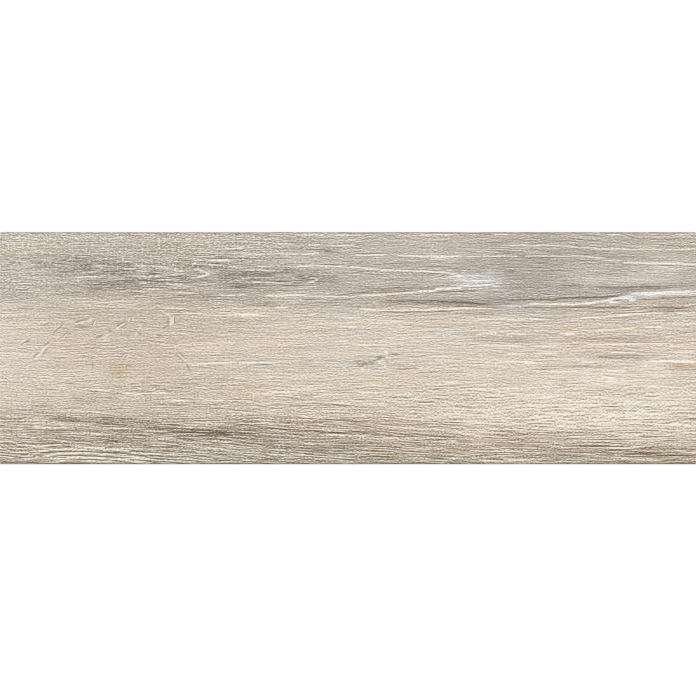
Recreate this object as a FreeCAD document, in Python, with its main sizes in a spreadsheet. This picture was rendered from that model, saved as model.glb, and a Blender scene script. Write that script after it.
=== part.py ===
"""Wood look porcelain plank tile: one pressed and fired slab, lying on its back.

Millimetres, +Z up, +X along the plank. The origin is the middle of the back, in the plane of the
keying ribs that the tile lies on. The printed face is on top.
"""

import FreeCAD, Part
import Sketcher
import os

# The sizes that drive the tile: name, value in millimetres or degrees, what it is
DRIVING_SIZES = [
    ("tile_length", 600, "long side of the face"),
    ("tile_width", 200, "short side of the face"),
    ("tile_thickness", 9, "from the keying ribs to the face"),
    ("face_arris_radius", 0.6, "rounding where the face turns into the sides"),
    ("back_bevel_height", 2.5, "how far up the sides the relieved back edge reaches"),
    ("back_bevel_inset", 1.0, "how far the relieved back edge steps in"),
    ("back_corner_radius", 0.5, "rounding left at the four corners of the back, inside the bevel"),
    ("cell_pitch", 20, "from one keying cell to the next, both ways"),
    ("rib_width", 3, "rib between two cells, at its crest"),
    ("relief_depth", 0.8, "from the crest of the ribs to the floor of the cells"),
    ("cell_wall_draft", 30, "lean of the cell walls, so that the press lets go"),
    ("least_rim_width", 8, "plain rim that the lattice of cells leaves all round, at least"),
]

# The sizes that follow from those: name, formula, what it is
DERIVED_SIZES = [
    ("plan_corner_radius", "back_corner_radius + back_bevel_inset", "rounding of the face's corners"),
    ("cell_side", "cell_pitch - rib_width", "side of a cell at the crest of the ribs"),
    ("cell_floor_side", "cell_side - 2 * relief_depth * tan(cell_wall_draft * 1deg)", "side of a cell's floor"),
    ("cells_along", "floor((tile_length - 2 * least_rim_width + rib_width) / cell_pitch)", "cells in a row"),
    ("cells_across", "floor((tile_width - 2 * least_rim_width + rib_width) / cell_pitch)", "rows of cells"),
    ("lattice_length", "(cells_along - 1) * cell_pitch", "from the first cell's centre to the last, along"),
    ("lattice_width", "(cells_across - 1) * cell_pitch", "from the first row's centre to the last"),
]


def make_size_sheet(doc):
    """Writes every size into a spreadsheet, where each cell that holds one has its name as alias."""
    sheet = doc.addObject("Spreadsheet::Sheet", "Sizes")
    for row, (name, value, meaning) in enumerate(DRIVING_SIZES, start=1):
        sheet.set(f"A{row}", meaning)
        sheet.set(f"B{row}", str(value))
        sheet.setAlias(f"B{row}", name)
    for row, (name, formula, meaning) in enumerate(DERIVED_SIZES, start=len(DRIVING_SIZES) + 1):
        sheet.set(f"A{row}", meaning)
        sheet.set(f"B{row}", f"={formula}")
        sheet.setAlias(f"B{row}", name)
    doc.recompute()
    return sheet


def origin_item(body, role):
    """Finds one of the body's own base planes or axes."""
    return next(f for f in body.Origin.OriginFeatures if f.Role == role)


def add_slab_outline(body):
    """Adds a sketch on the base plane: the tile's rectangle about the origin, driven by length and width."""
    sketch = body.newObject("Sketcher::SketchObject", "SlabOutline")
    sketch.AttachmentSupport = (origin_item(body, "XY_Plane"), "")
    sketch.MapMode = "FlatFace"

    # Corners in order, at a rough size that the two dimensions then set
    corners = [FreeCAD.Vector(x, y, 0) for x, y in ((-300, -100), (300, -100), (300, 100), (-300, 100))]
    front, right, back, left = (
        sketch.addGeometry(Part.LineSegment(corners[i], corners[(i + 1) % 4]), False) for i in range(4)
    )
    start, end = 1, 2
    for line, next_line in ((front, right), (right, back), (back, left), (left, front)):
        sketch.addConstraint(Sketcher.Constraint("Coincident", line, end, next_line, start))
    for line in (front, back):
        sketch.addConstraint(Sketcher.Constraint("Horizontal", line))
    for line in (right, left):
        sketch.addConstraint(Sketcher.Constraint("Vertical", line))
    origin_line, origin_point = -1, 1
    sketch.addConstraint(Sketcher.Constraint("Symmetric", front, start, back, start, origin_line, origin_point))

    sketch.addConstraint(Sketcher.Constraint("DistanceX", front, start, front, end, 600))
    sketch.renameConstraint(sketch.ConstraintCount - 1, "length")
    sketch.setExpression("Constraints.length", "Sizes.tile_length")
    sketch.addConstraint(Sketcher.Constraint("DistanceY", right, start, right, end, 200))
    sketch.renameConstraint(sketch.ConstraintCount - 1, "width")
    sketch.setExpression("Constraints.width", "Sizes.tile_width")
    return sketch


def level_face(feature, height):
    """Names the horizontal face of a feature that lies at a height."""
    for number, face in enumerate(feature.Shape.Faces, start=1):
        box = face.BoundBox
        if box.ZLength < 1e-6 and abs(box.ZMin - height) < 1e-6:
            return f"Face{number}"
    raise RuntimeError(f"{feature.Label} has no level face at {height} mm")


def upright_edges(feature):
    """Names the vertical edges of a feature, which are the slab's four corners."""
    names = []
    for number, edge in enumerate(feature.Shape.Edges, start=1):
        if abs(edge.BoundBox.ZLength - edge.Length) < 1e-6:
            names.append(f"Edge{number}")
    return names


def press_slab(body):
    """Makes the slab with its plumb sides and its slightly rounded corners in plan."""
    slab = body.newObject("PartDesign::Pad", "Slab")
    slab.Profile = add_slab_outline(body)
    slab.setExpression("Length", "Sizes.tile_thickness")
    body.Document.recompute()

    corners = body.newObject("PartDesign::Fillet", "PlanCorners")
    corners.Base = (slab, upright_edges(slab))
    corners.setExpression("Radius", "Sizes.plan_corner_radius")
    body.Document.recompute()
    return corners


def ease_edges(body, slab, face_height):
    """Rounds the face's arris and relieves the back edge, so that laid tiles meet only near the face."""
    arris = body.newObject("PartDesign::Fillet", "FaceArris")
    arris.Base = (slab, [level_face(slab, face_height)])
    arris.setExpression("Radius", "Sizes.face_arris_radius")
    body.Document.recompute()

    bevel = body.newObject("PartDesign::Chamfer", "BackBevel")
    bevel.Base = (arris, [level_face(arris, 0)])
    bevel.ChamferType = "Two distances"
    bevel.setExpression("Size", "Sizes.back_bevel_height")
    bevel.setExpression("Size2", "Sizes.back_bevel_inset")
    body.Document.recompute()


def press_keying_lattice(body):
    """Sinks one drafted cell at the lattice's corner and repeats it both ways, leaving ribs and a rim."""
    cell = body.newObject("PartDesign::SubtractiveWedge", "KeyingCell")
    cell.AttachmentSupport = (origin_item(body, "XZ_Plane"), "")
    cell.MapMode = "FlatFace"
    # Standing on this plane, the wedge narrows along its own Y, which points up; its own Z points to the front
    cell.setExpression(".AttachmentOffset.Base.x", "-Sizes.lattice_length / 2")
    cell.setExpression(".AttachmentOffset.Base.z", "Sizes.lattice_width / 2")
    cell.setExpression("Ymin", "0")
    cell.setExpression("Ymax", "Sizes.relief_depth")
    for direction in ("X", "Z"):
        cell.setExpression(f"{direction}min", "-Sizes.cell_side / 2")
        cell.setExpression(f"{direction}max", "Sizes.cell_side / 2")
        cell.setExpression(f"{direction}2min", "-Sizes.cell_floor_side / 2")
        cell.setExpression(f"{direction}2max", "Sizes.cell_floor_side / 2")
    body.Document.recompute()

    lattice = body.newObject("PartDesign::LinearPattern", "KeyingLattice")
    lattice.Originals = [cell]
    lattice.Direction = (origin_item(body, "X_Axis"), [""])
    lattice.Direction2 = (origin_item(body, "Y_Axis"), [""])
    lattice.setExpression("Length", "Sizes.lattice_length")
    lattice.setExpression("Length2", "Sizes.lattice_width")
    lattice.setExpression("Occurrences", "Sizes.cells_along")
    lattice.setExpression("Occurrences2", "Sizes.cells_across")
    body.Tip = lattice
    body.Document.recompute()


def make_tile(doc, sheet):
    """Builds the tile as one body."""
    body = doc.addObject("PartDesign::Body", "plank_tile")
    body.Label = "plank_tile"
    slab = press_slab(body)
    ease_edges(body, slab, sheet.tile_thickness)
    press_keying_lattice(body)
    return body


def check_document(doc, bodies):
    """Stops if any object failed to compute, or a body isn't one valid solid."""
    for item in doc.Objects:
        if "Invalid" in item.State or "Error" in item.State:
            raise RuntimeError(f"{item.Label} failed: {item.State}")
    for body in bodies:
        if body.Shape.isNull() or not body.Shape.isValid() or len(body.Shape.Solids) != 1:
            raise RuntimeError(f"{body.Label} isn't one valid solid")


def export_parts(bodies):
    """Writes each body to a STEP file that has its label as name."""
    os.makedirs("parts", exist_ok=True)
    for body in bodies:
        body.Shape.exportStep(f"parts/{body.Label}.step")
        box = body.Shape.optimalBoundingBox()
        print(
            f"{body.Label}: {box.XLength:.2f} x {box.YLength:.2f} x {box.ZLength:.2f} mm, "
            f"{body.Shape.Volume:.1f} mm3, {len(body.Shape.Faces)} faces"
        )


doc = FreeCAD.newDocument("PlankTile")
sizes = make_size_sheet(doc)
tile = make_tile(doc, sizes)
doc.recompute()
check_document(doc, [tile])
export_parts([tile])
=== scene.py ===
import math

import bpy
import numpy as np
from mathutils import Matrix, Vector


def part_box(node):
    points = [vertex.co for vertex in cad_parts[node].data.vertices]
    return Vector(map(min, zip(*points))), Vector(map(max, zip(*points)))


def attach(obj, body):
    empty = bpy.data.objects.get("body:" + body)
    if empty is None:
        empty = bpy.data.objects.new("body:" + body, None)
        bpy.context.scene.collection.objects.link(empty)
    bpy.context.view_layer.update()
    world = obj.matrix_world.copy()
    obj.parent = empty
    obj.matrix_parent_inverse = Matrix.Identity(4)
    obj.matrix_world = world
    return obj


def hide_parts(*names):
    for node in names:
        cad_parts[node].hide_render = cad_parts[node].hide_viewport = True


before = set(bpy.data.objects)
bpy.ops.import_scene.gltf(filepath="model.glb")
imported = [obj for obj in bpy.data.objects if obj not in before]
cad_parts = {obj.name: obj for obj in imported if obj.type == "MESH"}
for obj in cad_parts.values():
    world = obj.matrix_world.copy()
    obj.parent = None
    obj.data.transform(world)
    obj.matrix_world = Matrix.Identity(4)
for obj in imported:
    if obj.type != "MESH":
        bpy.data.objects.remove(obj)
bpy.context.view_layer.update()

mm = 0.001
low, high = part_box("plank_tile")

slab = {
    "halfLength": (high.x - low.x) / 2,
    "halfWidth": (high.y - low.y) / 2,
    "top": high.z,
    "arris": 0.6 * mm,            # rounding of the face's edge
    "arrisTurns": (30, 60, 90),   # degrees at which the rounding has its rings
    "corner": 1.5 * mm,           # rounding of the four corners in plan
    "bevelHeight": 2.5 * mm,      # relieved back edge
    "bevelInset": 1.0 * mm,
    "columns": 132,               # cells of the face's mesh, along the grain
    "rows": 620,                  # and across it, where the grain is fine
    "endColumns": (0.25 * mm, 0.9 * mm),      # how far the two before the outermost are from the end
}

lattice = {
    "pitch": 20 * mm,             # from one keying cell to the next
    "rib": 3 * mm,
    "depth": 0.8 * mm,
    "draft": math.radians(30),
    "along": 29,
    "across": 9,
}


def selectOnly(thing):
    bpy.ops.object.select_all(action="DESELECT")
    thing.select_set(True)
    bpy.context.view_layer.objects.active = thing


def places(thing):
    found = np.empty(len(thing.data.vertices) * 3)
    thing.data.vertices.foreach_get("co", found)
    return found.reshape(-1, 3)


def putPlaces(thing, where):
    thing.data.vertices.foreach_set("co", where.ravel())
    thing.data.update()


def selectedPoints(thing):
    found = np.empty(len(thing.data.vertices), bool)
    thing.data.vertices.foreach_get("select", found)
    return found


def onOutline(where, reach, height):
    # moves points out from the slab's inner rectangle to a rounded outline that is reach away from it
    core = np.array([slab["halfLength"] - slab["corner"], slab["halfWidth"] - slab["corner"]])
    nearest = np.clip(where[:, :2], -core, core)
    away = where[:, :2] - nearest
    away /= np.linalg.norm(away, axis=1)[:, None]
    return np.column_stack([nearest + away * reach, np.full(len(where), height)])


def makeFaceAndSides():
    flatLength = 2 * (slab["halfLength"] - slab["arris"])
    flatWidth = 2 * (slab["halfWidth"] - slab["arris"])
    bpy.ops.object.select_all(action="DESELECT")
    bpy.ops.mesh.primitive_grid_add(
        x_subdivisions=slab["columns"], y_subdivisions=slab["rows"], size=1, location=(0, 0, slab["top"]))
    tile = bpy.context.object
    tile.name = "porcelainPlank"
    tile.scale = (flatLength, flatWidth, 1)
    bpy.ops.object.transform_apply(location=True, rotation=True, scale=True)

    # the outermost columns close up, so that the rounded corners have points of their own
    where = places(tile)
    step = flatLength / slab["columns"]
    column = np.rint(np.abs(where[:, 0]) / step).astype(int)
    for inward, inset in enumerate(slab["endColumns"], 1):
        moved = column == slab["columns"] // 2 - inward
        where[moved, 0] = np.sign(where[moved, 0]) * (flatLength / 2 - inset)
    putPlaces(tile, where)

    # the edge of the face, then the arris, the sides and the relieved back edge, ring by ring
    bpy.ops.object.mode_set(mode="EDIT")
    bpy.ops.mesh.select_mode(type="EDGE")
    bpy.ops.mesh.select_all(action="SELECT")
    bpy.ops.mesh.region_to_loop()
    flatReach = slab["corner"] - slab["arris"]
    rings = [(flatReach, slab["top"])]
    for turn in np.radians(slab["arrisTurns"]):
        out, down = math.sin(turn) * slab["arris"], (1 - math.cos(turn)) * slab["arris"]
        rings.append((flatReach + out, slab["top"] - down))
    rings.append((slab["corner"], slab["bevelHeight"]))
    rings.append((slab["corner"] - slab["bevelInset"], 0.0))
    for number, (reach, height) in enumerate(rings):
        if number:
            bpy.ops.mesh.extrude_edges_move()
        bpy.ops.object.mode_set(mode="OBJECT")
        where = places(tile)
        ring = selectedPoints(tile)
        where[ring] = onOutline(where[ring], reach, height)
        putPlaces(tile, where)
        bpy.ops.object.mode_set(mode="EDIT")
    bpy.ops.object.mode_set(mode="OBJECT")
    return tile


def makeKeyingLattice():
    bpy.ops.object.select_all(action="DESELECT")
    bpy.ops.mesh.primitive_grid_add(
        x_subdivisions=2 * lattice["along"] - 1, y_subdivisions=2 * lattice["across"] - 1, size=2)
    back = bpy.context.object

    # grid lines go to the edges of the cells
    def edgeLines(where, count):
        line = np.rint((where + 1) / 2 * (2 * count - 1)).astype(int)
        cell, side = line // 2, line % 2 * 2 - 1
        mouth = lattice["pitch"] - lattice["rib"]
        return (cell - (count - 1) / 2) * lattice["pitch"] + side * mouth / 2
    where = places(back)
    where[:, 0] = edgeLines(where[:, 0], lattice["along"])
    where[:, 1] = edgeLines(where[:, 1], lattice["across"])
    putPlaces(back, where)

    # each cell's mouth goes in and up to its floor
    bpy.ops.object.mode_set(mode="EDIT")
    bpy.ops.mesh.select_mode(type="FACE")
    bpy.ops.mesh.select_all(action="DESELECT")
    bpy.ops.object.mode_set(mode="OBJECT")
    for face in back.data.polygons:
        steps = [place / lattice["pitch"] for place in face.center[:2]]
        face.select = max(abs(step - round(step)) for step in steps) < 0.1
    bpy.ops.object.mode_set(mode="EDIT")
    bpy.ops.mesh.inset(
        thickness=lattice["depth"] * math.tan(lattice["draft"]), depth=lattice["depth"], use_individual=True)
    bpy.ops.object.mode_set(mode="OBJECT")
    return back


def closeSlab(tile, back):
    selectOnly(tile)
    back.select_set(True)
    bpy.ops.object.join()
    bpy.ops.object.mode_set(mode="EDIT")
    bpy.ops.mesh.select_mode(type="EDGE")
    bpy.ops.mesh.select_all(action="DESELECT")
    bpy.ops.mesh.select_non_manifold(extend=False)
    bpy.ops.mesh.fill(use_beauty=True)
    bpy.ops.mesh.select_all(action="SELECT")
    bpy.ops.mesh.normals_make_consistent(inside=False)
    bpy.ops.mesh.select_all(action="DESELECT")
    bpy.ops.object.mode_set(mode="OBJECT")
    return tile


faceHalf = (300, 100)             # half the length and the width that the print is drawn for, in mm

# The figure of the print, drawn as strokes in mm from the tile's middle: x and y of the left end
# and of the right end, half the thickness, and how far the middle bows up
figure = {
    "seams": [
        # far left: the dark blotch and the lines below it
        (-258, 66.5, -250, 66.8, 0.7), (-249, 66, -243, 64.5, 0.7), (-237, 67.5, -228, 68.5, 0.8),
        (-255, 74, -246, 73, 0.7), (-250, 75.8, -241, 76, 0.6), (-241, 77.5, -228, 77.3, 0.7),
        (-231, 58, -210, 58.5, 0.9), (-222, 55, -205, 55, 0.6), (-230, 51, -210, 51, 0.8),
        (-210, 58, -180, 57.8, 0.6), (-210, 61, -193, 60.5, 0.6), (-300, 77, -287, 77.2, 0.6),
        (-240, 48.5, -228, 48.5, 0.8), (-223, 49, -213, 48, 0.7), (-187, 49, -180, 47, 0.7),
        (-300, 30, -281, 30, 0.7), (-262, 35.2, -232, 35.2, 0.5), (-239, 29.3, -215, 29.5, 0.6),
        (-220, 34, -200, 34, 0.5), (-290, 34.2, -266, 34.2, 0.7),
        # round the two tips of the cathedral
        (-178, 83.2, -165, 83.4, 0.8), (-133, 68.6, -124, 65.2, 0.7, 0.4),
        (-134, 62.2, -124, 64.2, 0.6, -0.3), (-156, 66.8, -144, 64.6, 0.6, 0.3),
        (-152, 60.1, -118, 60.2, 0.7), (-176, 60.2, -150, 60.1, 0.7), (-158, 57, -130, 56, 0.8),
        (-176, 56, -158, 57, 0.8), (-176, 52, -156, 53, 0.8), (-152, 50, -134, 50.2, 0.9),
        (-147, 76.8, -134, 74.8, 0.8), (-120, 77.2, -98, 77, 0.8), (-98, 77, -80, 77.4, 0.7),
        (-168, 72.6, -160, 72.8, 0.8), (-158, 62.4, -146, 61.9, 0.6), (-170, 64.4, -158, 64.2, 0.6),
        (-48, 57.2, -34, 56.5, 0.6), (-44, 62, -30, 59.4, 0.6, 0.3), (-62, 57, -48, 57.3, 0.7),
        (-156, 82.5, -150, 82, 0.6), (-150, 81.5, -128, 80.6, 0.7), (-118, 79, -103, 79, 1),
        (-148, 78, -134, 74.5, 0.7), (-143, 71, -124, 70, 0.7), (-123, 73, -95, 71, 0.8, 0.5),
        (-110, 70, -100, 69.8, 0.6), (-110, 62, -104, 61.5, 0.6), (-107, 55.5, -84, 54.8, 0.7),
        (-84, 54.8, -60, 53.8, 0.8), (-100, 52.7, -85, 51.8, 0.7), (-70, 64, -60, 64.3, 0.6),
        (-60, 68, -42, 66.8, 0.9, 0.4), (-60, 65.2, -45, 64.5, 0.9, 0.8),
        (-45, 64, -28, 60, 0.9, 0.6), (-60, 54.2, -40, 53.3, 1), (-57, 61, -44, 59.5, 0.7),
        (-30, 72, -10, 72, 0.8), (-20, 83, -8, 82.8, 0.8), (5, 81.5, 30, 82, 0.7),
        (-15, 53, -8, 53, 0.6), (38, 52.5, 47, 52, 0.8), (10, 53, 20, 52.8, 0.5),
        (-147, 46, -135, 44.5, 0.8), (-125, 44.5, -110, 44, 0.8),
        # far right of the middle, down to the streaks that end the upper band
        (103, 81.5, 115, 80.5, 0.7), (131, 81.8, 139, 82, 0.8), (131, 80.2, 138, 80.3, 0.6),
        (140, 81.5, 152, 79.3, 0.7), (104, 77.5, 115, 77, 0.6), (151, 78, 175, 77.7, 0.8),
        (67, 70, 85, 70.2, 0.6), (69, 64, 83, 64.3, 0.9), (60, 80.3, 68, 80.5, 0.6),
        (181, 82, 187, 81.5, 0.6), (199, 80.2, 205, 80.2, 0.8), (240, 81, 248, 81, 0.6),
        (226, 74.8, 234, 74, 0.6), (270, 71.5, 280, 71, 0.6), (185, 54, 200, 54.5, 0.9),
        (233, 52.2, 260, 52.8, 0.7), (257, 53.4, 270, 53, 0.8), (214, 52.6, 232, 52.4, 0.5),
        (245, 44.8, 259, 45, 0.8), (-12, 45.3, 22, 48.8, 1.1, 0.2), (-40, 42.2, -22, 42, 0.8),
        (-15, 40.5, 5, 41.8, 1, 0.6), (27, 40, 66, 41, 0.9, 0.3), (20, 31.3, 72, 31.4, 0.9, -0.3),
        (58, 41, 125, 37.3, 0.9, 0.5), (90, 36.2, 112, 36, 0.8), (112, 35.3, 180, 35, 0.8),
        (120, 42, 182, 41.5, 1), (74, 31.7, 91, 31.5, 1), (91, 30.3, 128, 29, 0.6),
        (75, 48.5, 115, 49.8, 0.9), (178, 43.3, 238, 45.2, 1.2, -0.6), (178, 35.4, 240, 35.2, 1),
        (249, 42, 263, 42.2, 0.8), (269, 43, 277, 43, 1), (280, 43.2, 300, 45.4, 0.8),
        (228, 29.6, 262, 31.1, 0.7, 0.3), (258, 29.3, 271, 29, 0.7), (274, 31.7, 294, 31.9, 0.6),
        (260, 35, 300, 34.5, 0.8),
        # the cream middle
        (-155, 31, -142, 31, 0.6), (-80, 24, -75, 23, 0.6), (-104, 14.5, -88, 15, 0.6),
        (-28, 26.5, -18, 26.3, 0.6), (-60, 27, -50, 26.5, 0.6), (-45, 15, -15, 14.8, 0.7),
        (226, 8.3, 232, 8.5, 0.6), (240, 11, 246, 10.6, 0.7), (256, 4.5, 262, 4.8, 0.9),
        (195, 2.5, 203, 2.3, 0.8), (282, 9.8, 300, 9.8, 0.6), (7, -11.2, 11.5, -11.6, 0.9),
        (13, -13.2, 17.5, -13, 0.9), (18, -12.2, 21.5, -12.5, 0.8), (20.5, -13.4, 27, -13.1, 1),
        (27.5, -12, 33, -12.1, 0.9), (13.5, -14.3, 17, -14.2, 0.8), (7, -15.6, 11, -15.3, 0.9),
        (24, -8.2, 29, -8.6, 0.8), (34, -5.5, 47, -5.3, 0.8), (-38, -11, -29, -11, 0.8),
        (-22, -11, -9, -10.7, 0.6), (-255, -8.6, -242, -7.9, 0.9), (-252, -11.3, -242, -11.5, 0.6),
        (-113, -13.8, -104, -14, 0.6), (-75, -14, -66, -14, 0.9), (-100, -11.3, -85, -10, 0.6),
        (39, -18.7, 61, -17.4, 0.9, 0.1), (60, -20.7, 76, -21, 0.9), (80, -20.5, 102, -20.8, 0.6),
        (161, -18, 169, -18.3, 1.1), (168, -19, 179, -19.1, 0.7), (199, -5.6, 208, -6, 0.7),
        (213, -7.4, 230, -8, 1.1), (256, -10.3, 265, -10.6, 0.9), (243, -12, 250, -12.5, 0.6),
        (269, -12, 282, -12.9, 0.9), (274, -18.6, 300, -19, 0.7), (237, -20.4, 247, -20.5, 0.8),
        (219, -23.5, 231, -24, 0.7),
        # where the cream turns brown
        (-242, -30.2, -234, -30.5, 0.9), (-231, -32.3, -221, -33.9, 0.8),
        (-228, -35.3, -197, -38.6, 0.9, -0.7), (-272, -35.3, -250, -35.8, 0.7),
        (-281, -42.3, -274, -42.3, 0.9), (-265, -41.5, -252, -41.8, 0.6),
        (-261, -43.5, -254, -43.6, 0.7), (-290, -41.5, -281, -41.5, 0.6),
        (-273, -49.6, -256, -49.8, 1.2), (-233, -45.3, -222, -46.3, 0.9),
        (-208, -42.4, -199, -43.1, 1), (-292, -45, -282, -45.3, 0.6),
        (-169, -31.4, -163, -32.7, 0.9), (-148, -33.8, -143, -33.8, 0.8),
        (-182, -36.5, -169, -37.5, 1), (-165, -34.9, -151, -36.7, 1),
        (-181, -39.8, -169, -40.4, 0.9), (-167, -43.4, -160, -44.4, 1),
        (-166, -48.2, -156, -48.4, 1.1), (-152, -48.8, -138, -49.1, 1.1),
        (-138, -30.1, -129, -30.5, 0.7), (-90, -33.3, -80, -33.8, 0.7), (-75, -32.5, -68, -33, 0.9),
        (-114, -38.5, -104, -38.6, 0.9), (-120, -48.3, -100, -48, 0.8), (-40, -31.3, -30, -31, 0.8),
        (0, -31.6, 10, -31.8, 0.7), (-21, -35.8, 6, -36.3, 0.9), (-42, -39.2, -24, -41, 0.8),
        (-52, -42.4, -36, -44.2, 1.1), (-34, -47, 3, -49.3, 1.1, -0.4), (34, -42, 57, -42.8, 1.2),
        (34, -47.2, 43, -47, 0.7), (7, -44, 16, -44, 0.6), (71, -35.5, 82, -35.8, 0.9),
        (58, -37.8, 67, -37.9, 0.9), (98, -34, 105, -33.8, 0.9), (101, -36.4, 122, -37.5, 1),
        (59, -46, 76, -46, 1.1), (102, -45, 112, -45.3, 0.8), (132, -41.5, 143, -41.5, 0.7),
        (235, -32, 244, -31.8, 0.9), (178, -32, 189, -32.3, 1), (178, -27.6, 190, -28, 0.8),
        (213, -36.2, 230, -38.6, 0.8), (247, -34.5, 258, -34.8, 0.8), (180, -42, 195, -43.3, 0.9),
        (240, -39.8, 248, -40, 0.7),
        # the brown band's long lines, left to right
        (-300, -60.8, -275, -61, 1.1), (-299, -63.1, -278, -63.4, 0.9),
        (-254, -62, -180, -67.4, 1, 0.6), (-242, -66.9, -180, -70.8, 0.8, 0.3),
        (-222, -58.9, -193, -60.6, 1.1), (-222, -78.4, -208, -79.3, 0.9),
        (-208, -76.9, -198, -77.6, 1.1), (-209, -79.7, -191, -80.1, 1.1),
        (-182, -61.6, -156, -65, 1.2), (-162, -65, -122, -69.5, 1.2),
        (-182, -67.4, -116, -70.7, 1, -0.5), (-124, -70.2, -72, -73.8, 1.1, -0.2),
        (-138, -86.3, -118, -88.8, 1.1), (-162, -84, -145, -85, 1), (-154, -95.3, -127, -97.4, 0.9),
        (-117, -96.4, -105, -97.1, 1), (-23, -60.9, -7, -62.1, 1.4), (-11, -61.9, 13, -63.3, 1),
        (-64, -69.2, -25, -71.3, 1.1), (-30, -71.4, 33, -75.1, 1.1, -0.2),
        (28, -75.9, 62, -75.9, 0.9), (30, -73.8, 60, -74.2, 0.7), (-53, -72.9, -38, -75.1, 1),
        (10, -93, 41, -93.6, 1), (14, -95.8, 43, -96, 1.1), (-12, -95.3, 7, -95.8, 1.1),
        (-33, -92, -18, -92.4, 0.9), (-11, -81.5, 11, -82, 1.3), (56, -75.8, 99, -76.3, 1.1),
        (56, -79, 85, -79.1, 1), (97, -93.3, 106, -93.5, 1), (109, -94.8, 142, -97.1, 1, 0.4),
        (137, -96.8, 174, -99.3, 1), (69, -95.5, 87, -95.5, 0.9), (157, -79.8, 183, -83.1, 0.9),
        (147, -80.1, 168, -81.3, 0.7), (188, -78, 242, -79.1, 0.9), (203, -81, 243, -82, 0.7),
        (178, -72, 207, -72.4, 0.7), (193, -83.8, 251, -85.1, 1.2, 0.1),
        (248, -85.2, 300, -88, 1.1), (265, -86, 284, -86.6, 1), (193, -90, 202, -90, 1.1),
        (213, -89, 227, -88.6, 0.9), (232, -89.9, 264, -91.7, 1), (249, -92, 300, -93.5, 1),
        (178, -95.4, 193, -96.5, 0.9), (273, -79.5, 283, -79.9, 1), (-240, -86, -192, -88.6, 0.8),
        (-190, -87.8, -162, -90.2, 0.9), (-190, -92, -150, -94.6, 0.9),
        (-190, -95.6, -160, -98, 0.9), (-300, -71.4, -270, -71, 0.8), (-236, -74, -196, -77, 0.9),
        (-262, -70.6, -232, -71, 0.8), (-120, -81, -92, -83, 0.8), (-150, -77.4, -118, -79.6, 0.8),
        # the nested ovals of the lower left corner
        (-274, -94, -260, -89.8, 1.1, 0.4), (-264, -90, -238, -88.8, 1.1, 0.5),
        (-242, -88.9, -176, -91.4, 1, 0.7), (-258, -94.6, -244, -91.8, 1, 0.3),
        (-247, -92.2, -200, -94, 0.9, 0.9), (-258, -97.4, -240, -95.8, 0.9, 0.3),
        (-236, -95.4, -186, -98.6, 1, 0.9), (-280, -98.8, -262, -98.6, 1),
        (-250, -98.8, -222, -98.9, 1), (-258, -84.4, -238, -85.2, 0.9, 0.2),
        (-280, -88, -266, -88.2, 0.8), (-268, -97.4, -260, -95.2, 0.9),
        # short dark lines of the cathedral
        (-200, 72.8, -162, 71.6, 0.7, 0.4), (-212, 60.6, -172, 60.2, 0.7),
        (-94, 65.4, -58, 65.2, 0.7, 0.3), (-90, 58.8, -50, 58, 0.7, -0.2),
        (-98, 62.6, -70, 63, 0.6), (-206, 66.3, -195, 66.3, 0.9), (-146, 61.8, -136, 61.8, 0.8),
        (-180, 58.4, -160, 57.2, 0.8), (-188, 67.4, -176, 67.8, 0.7), (-164, 66.8, -150, 66.2, 0.7),
        (-178, 63, -160, 63.9, 0.7),
    ],
    "paleLines": [
        (-262, 77, -257, 76.5, 0.6), (-300, 86.5, -290, 86.3, 0.7), (-136, 73, -128, 73, 0.8),
        (-123, 72.3, -109, 71.5, 0.7), (-104, 70.7, -95, 70.3, 0.7), (-80, 70.5, -64, 70.5, 0.7),
        (-121, 76, -99, 75.5, 1.1), (-109, 86, -89, 86, 0.7), (-140, 94.5, -132, 94, 0.6),
        (-133, 68.2, -119, 63.7, 0.9, 0.7), (-137, 60.4, -119, 63.3, 0.8, -0.4),
        (-153, 67.8, -142, 65.2, 0.45, 0.4), (-150, 63.8, -142, 64.9, 0.35, -0.2),
        (-40, 62.6, -27, 58.9, 0.8, 0.5), (-40, 55.9, -27, 58.5, 0.7, -0.3),
        (-55, 60.8, -43, 59.4, 0.6), (-42, 97.5, -19, 97.5, 0.7), (-16, 97.5, 11, 97.5, 0.7),
        (-60, 90, -49, 90, 0.6), (-36, 89, -24, 88.8, 0.6), (-16, 88.5, 6, 88.3, 0.7),
        (-39, 81, -24, 81.5, 0.8), (-100, 81.2, -66, 81, 0.5), (-60, 81, -42, 81.2, 0.5),
        (-40, 44.6, 8, 44.4, 0.6), (-86, 34.6, -52, 34.4, 0.5), (4, 80, 34, 80.1, 0.8),
        (40, 79.8, 62, 79.6, 0.7), (-43, 70.8, -35, 71, 0.7), (-35, 71.2, -21, 71, 0.8),
        (-21, 70.8, -1, 70.2, 0.8), (1, 70, 13, 69.6, 0.8), (11, 69.1, 24, 67.7, 0.9),
        (24, 67.3, 62, 66.2, 0.9), (58, 66.4, 86, 65, 1), (83, 65.1, 99, 61.8, 0.8, 0.3),
        (59, 79.3, 71, 79, 0.6), (58, 97.5, 92, 97.6, 0.8), (124, 98, 141, 98.3, 0.7),
        (70, 79.1, 98, 79, 0.7), (100, 79, 122, 79.3, 0.7), (118, 79.4, 150, 79.2, 0.8),
        (151, 79.2, 194, 79.2, 0.5), (194, 79.5, 207, 79.2, 0.7), (205, 79, 222, 76.2, 0.9, 0.3),
        (219, 76.2, 236, 74.9, 0.8), (236, 74.2, 263, 72.9, 0.85), (261, 73.3, 292, 72.7, 0.8),
        (288, 72.7, 300, 71.5, 0.8), (134, 88.6, 160, 88.8, 0.6), (158, 88.9, 186, 88.3, 0.7),
        (184, 88, 210, 86.4, 0.7), (206, 86, 244, 85.3, 0.7), (242, 85.3, 272, 85, 0.6),
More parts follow.
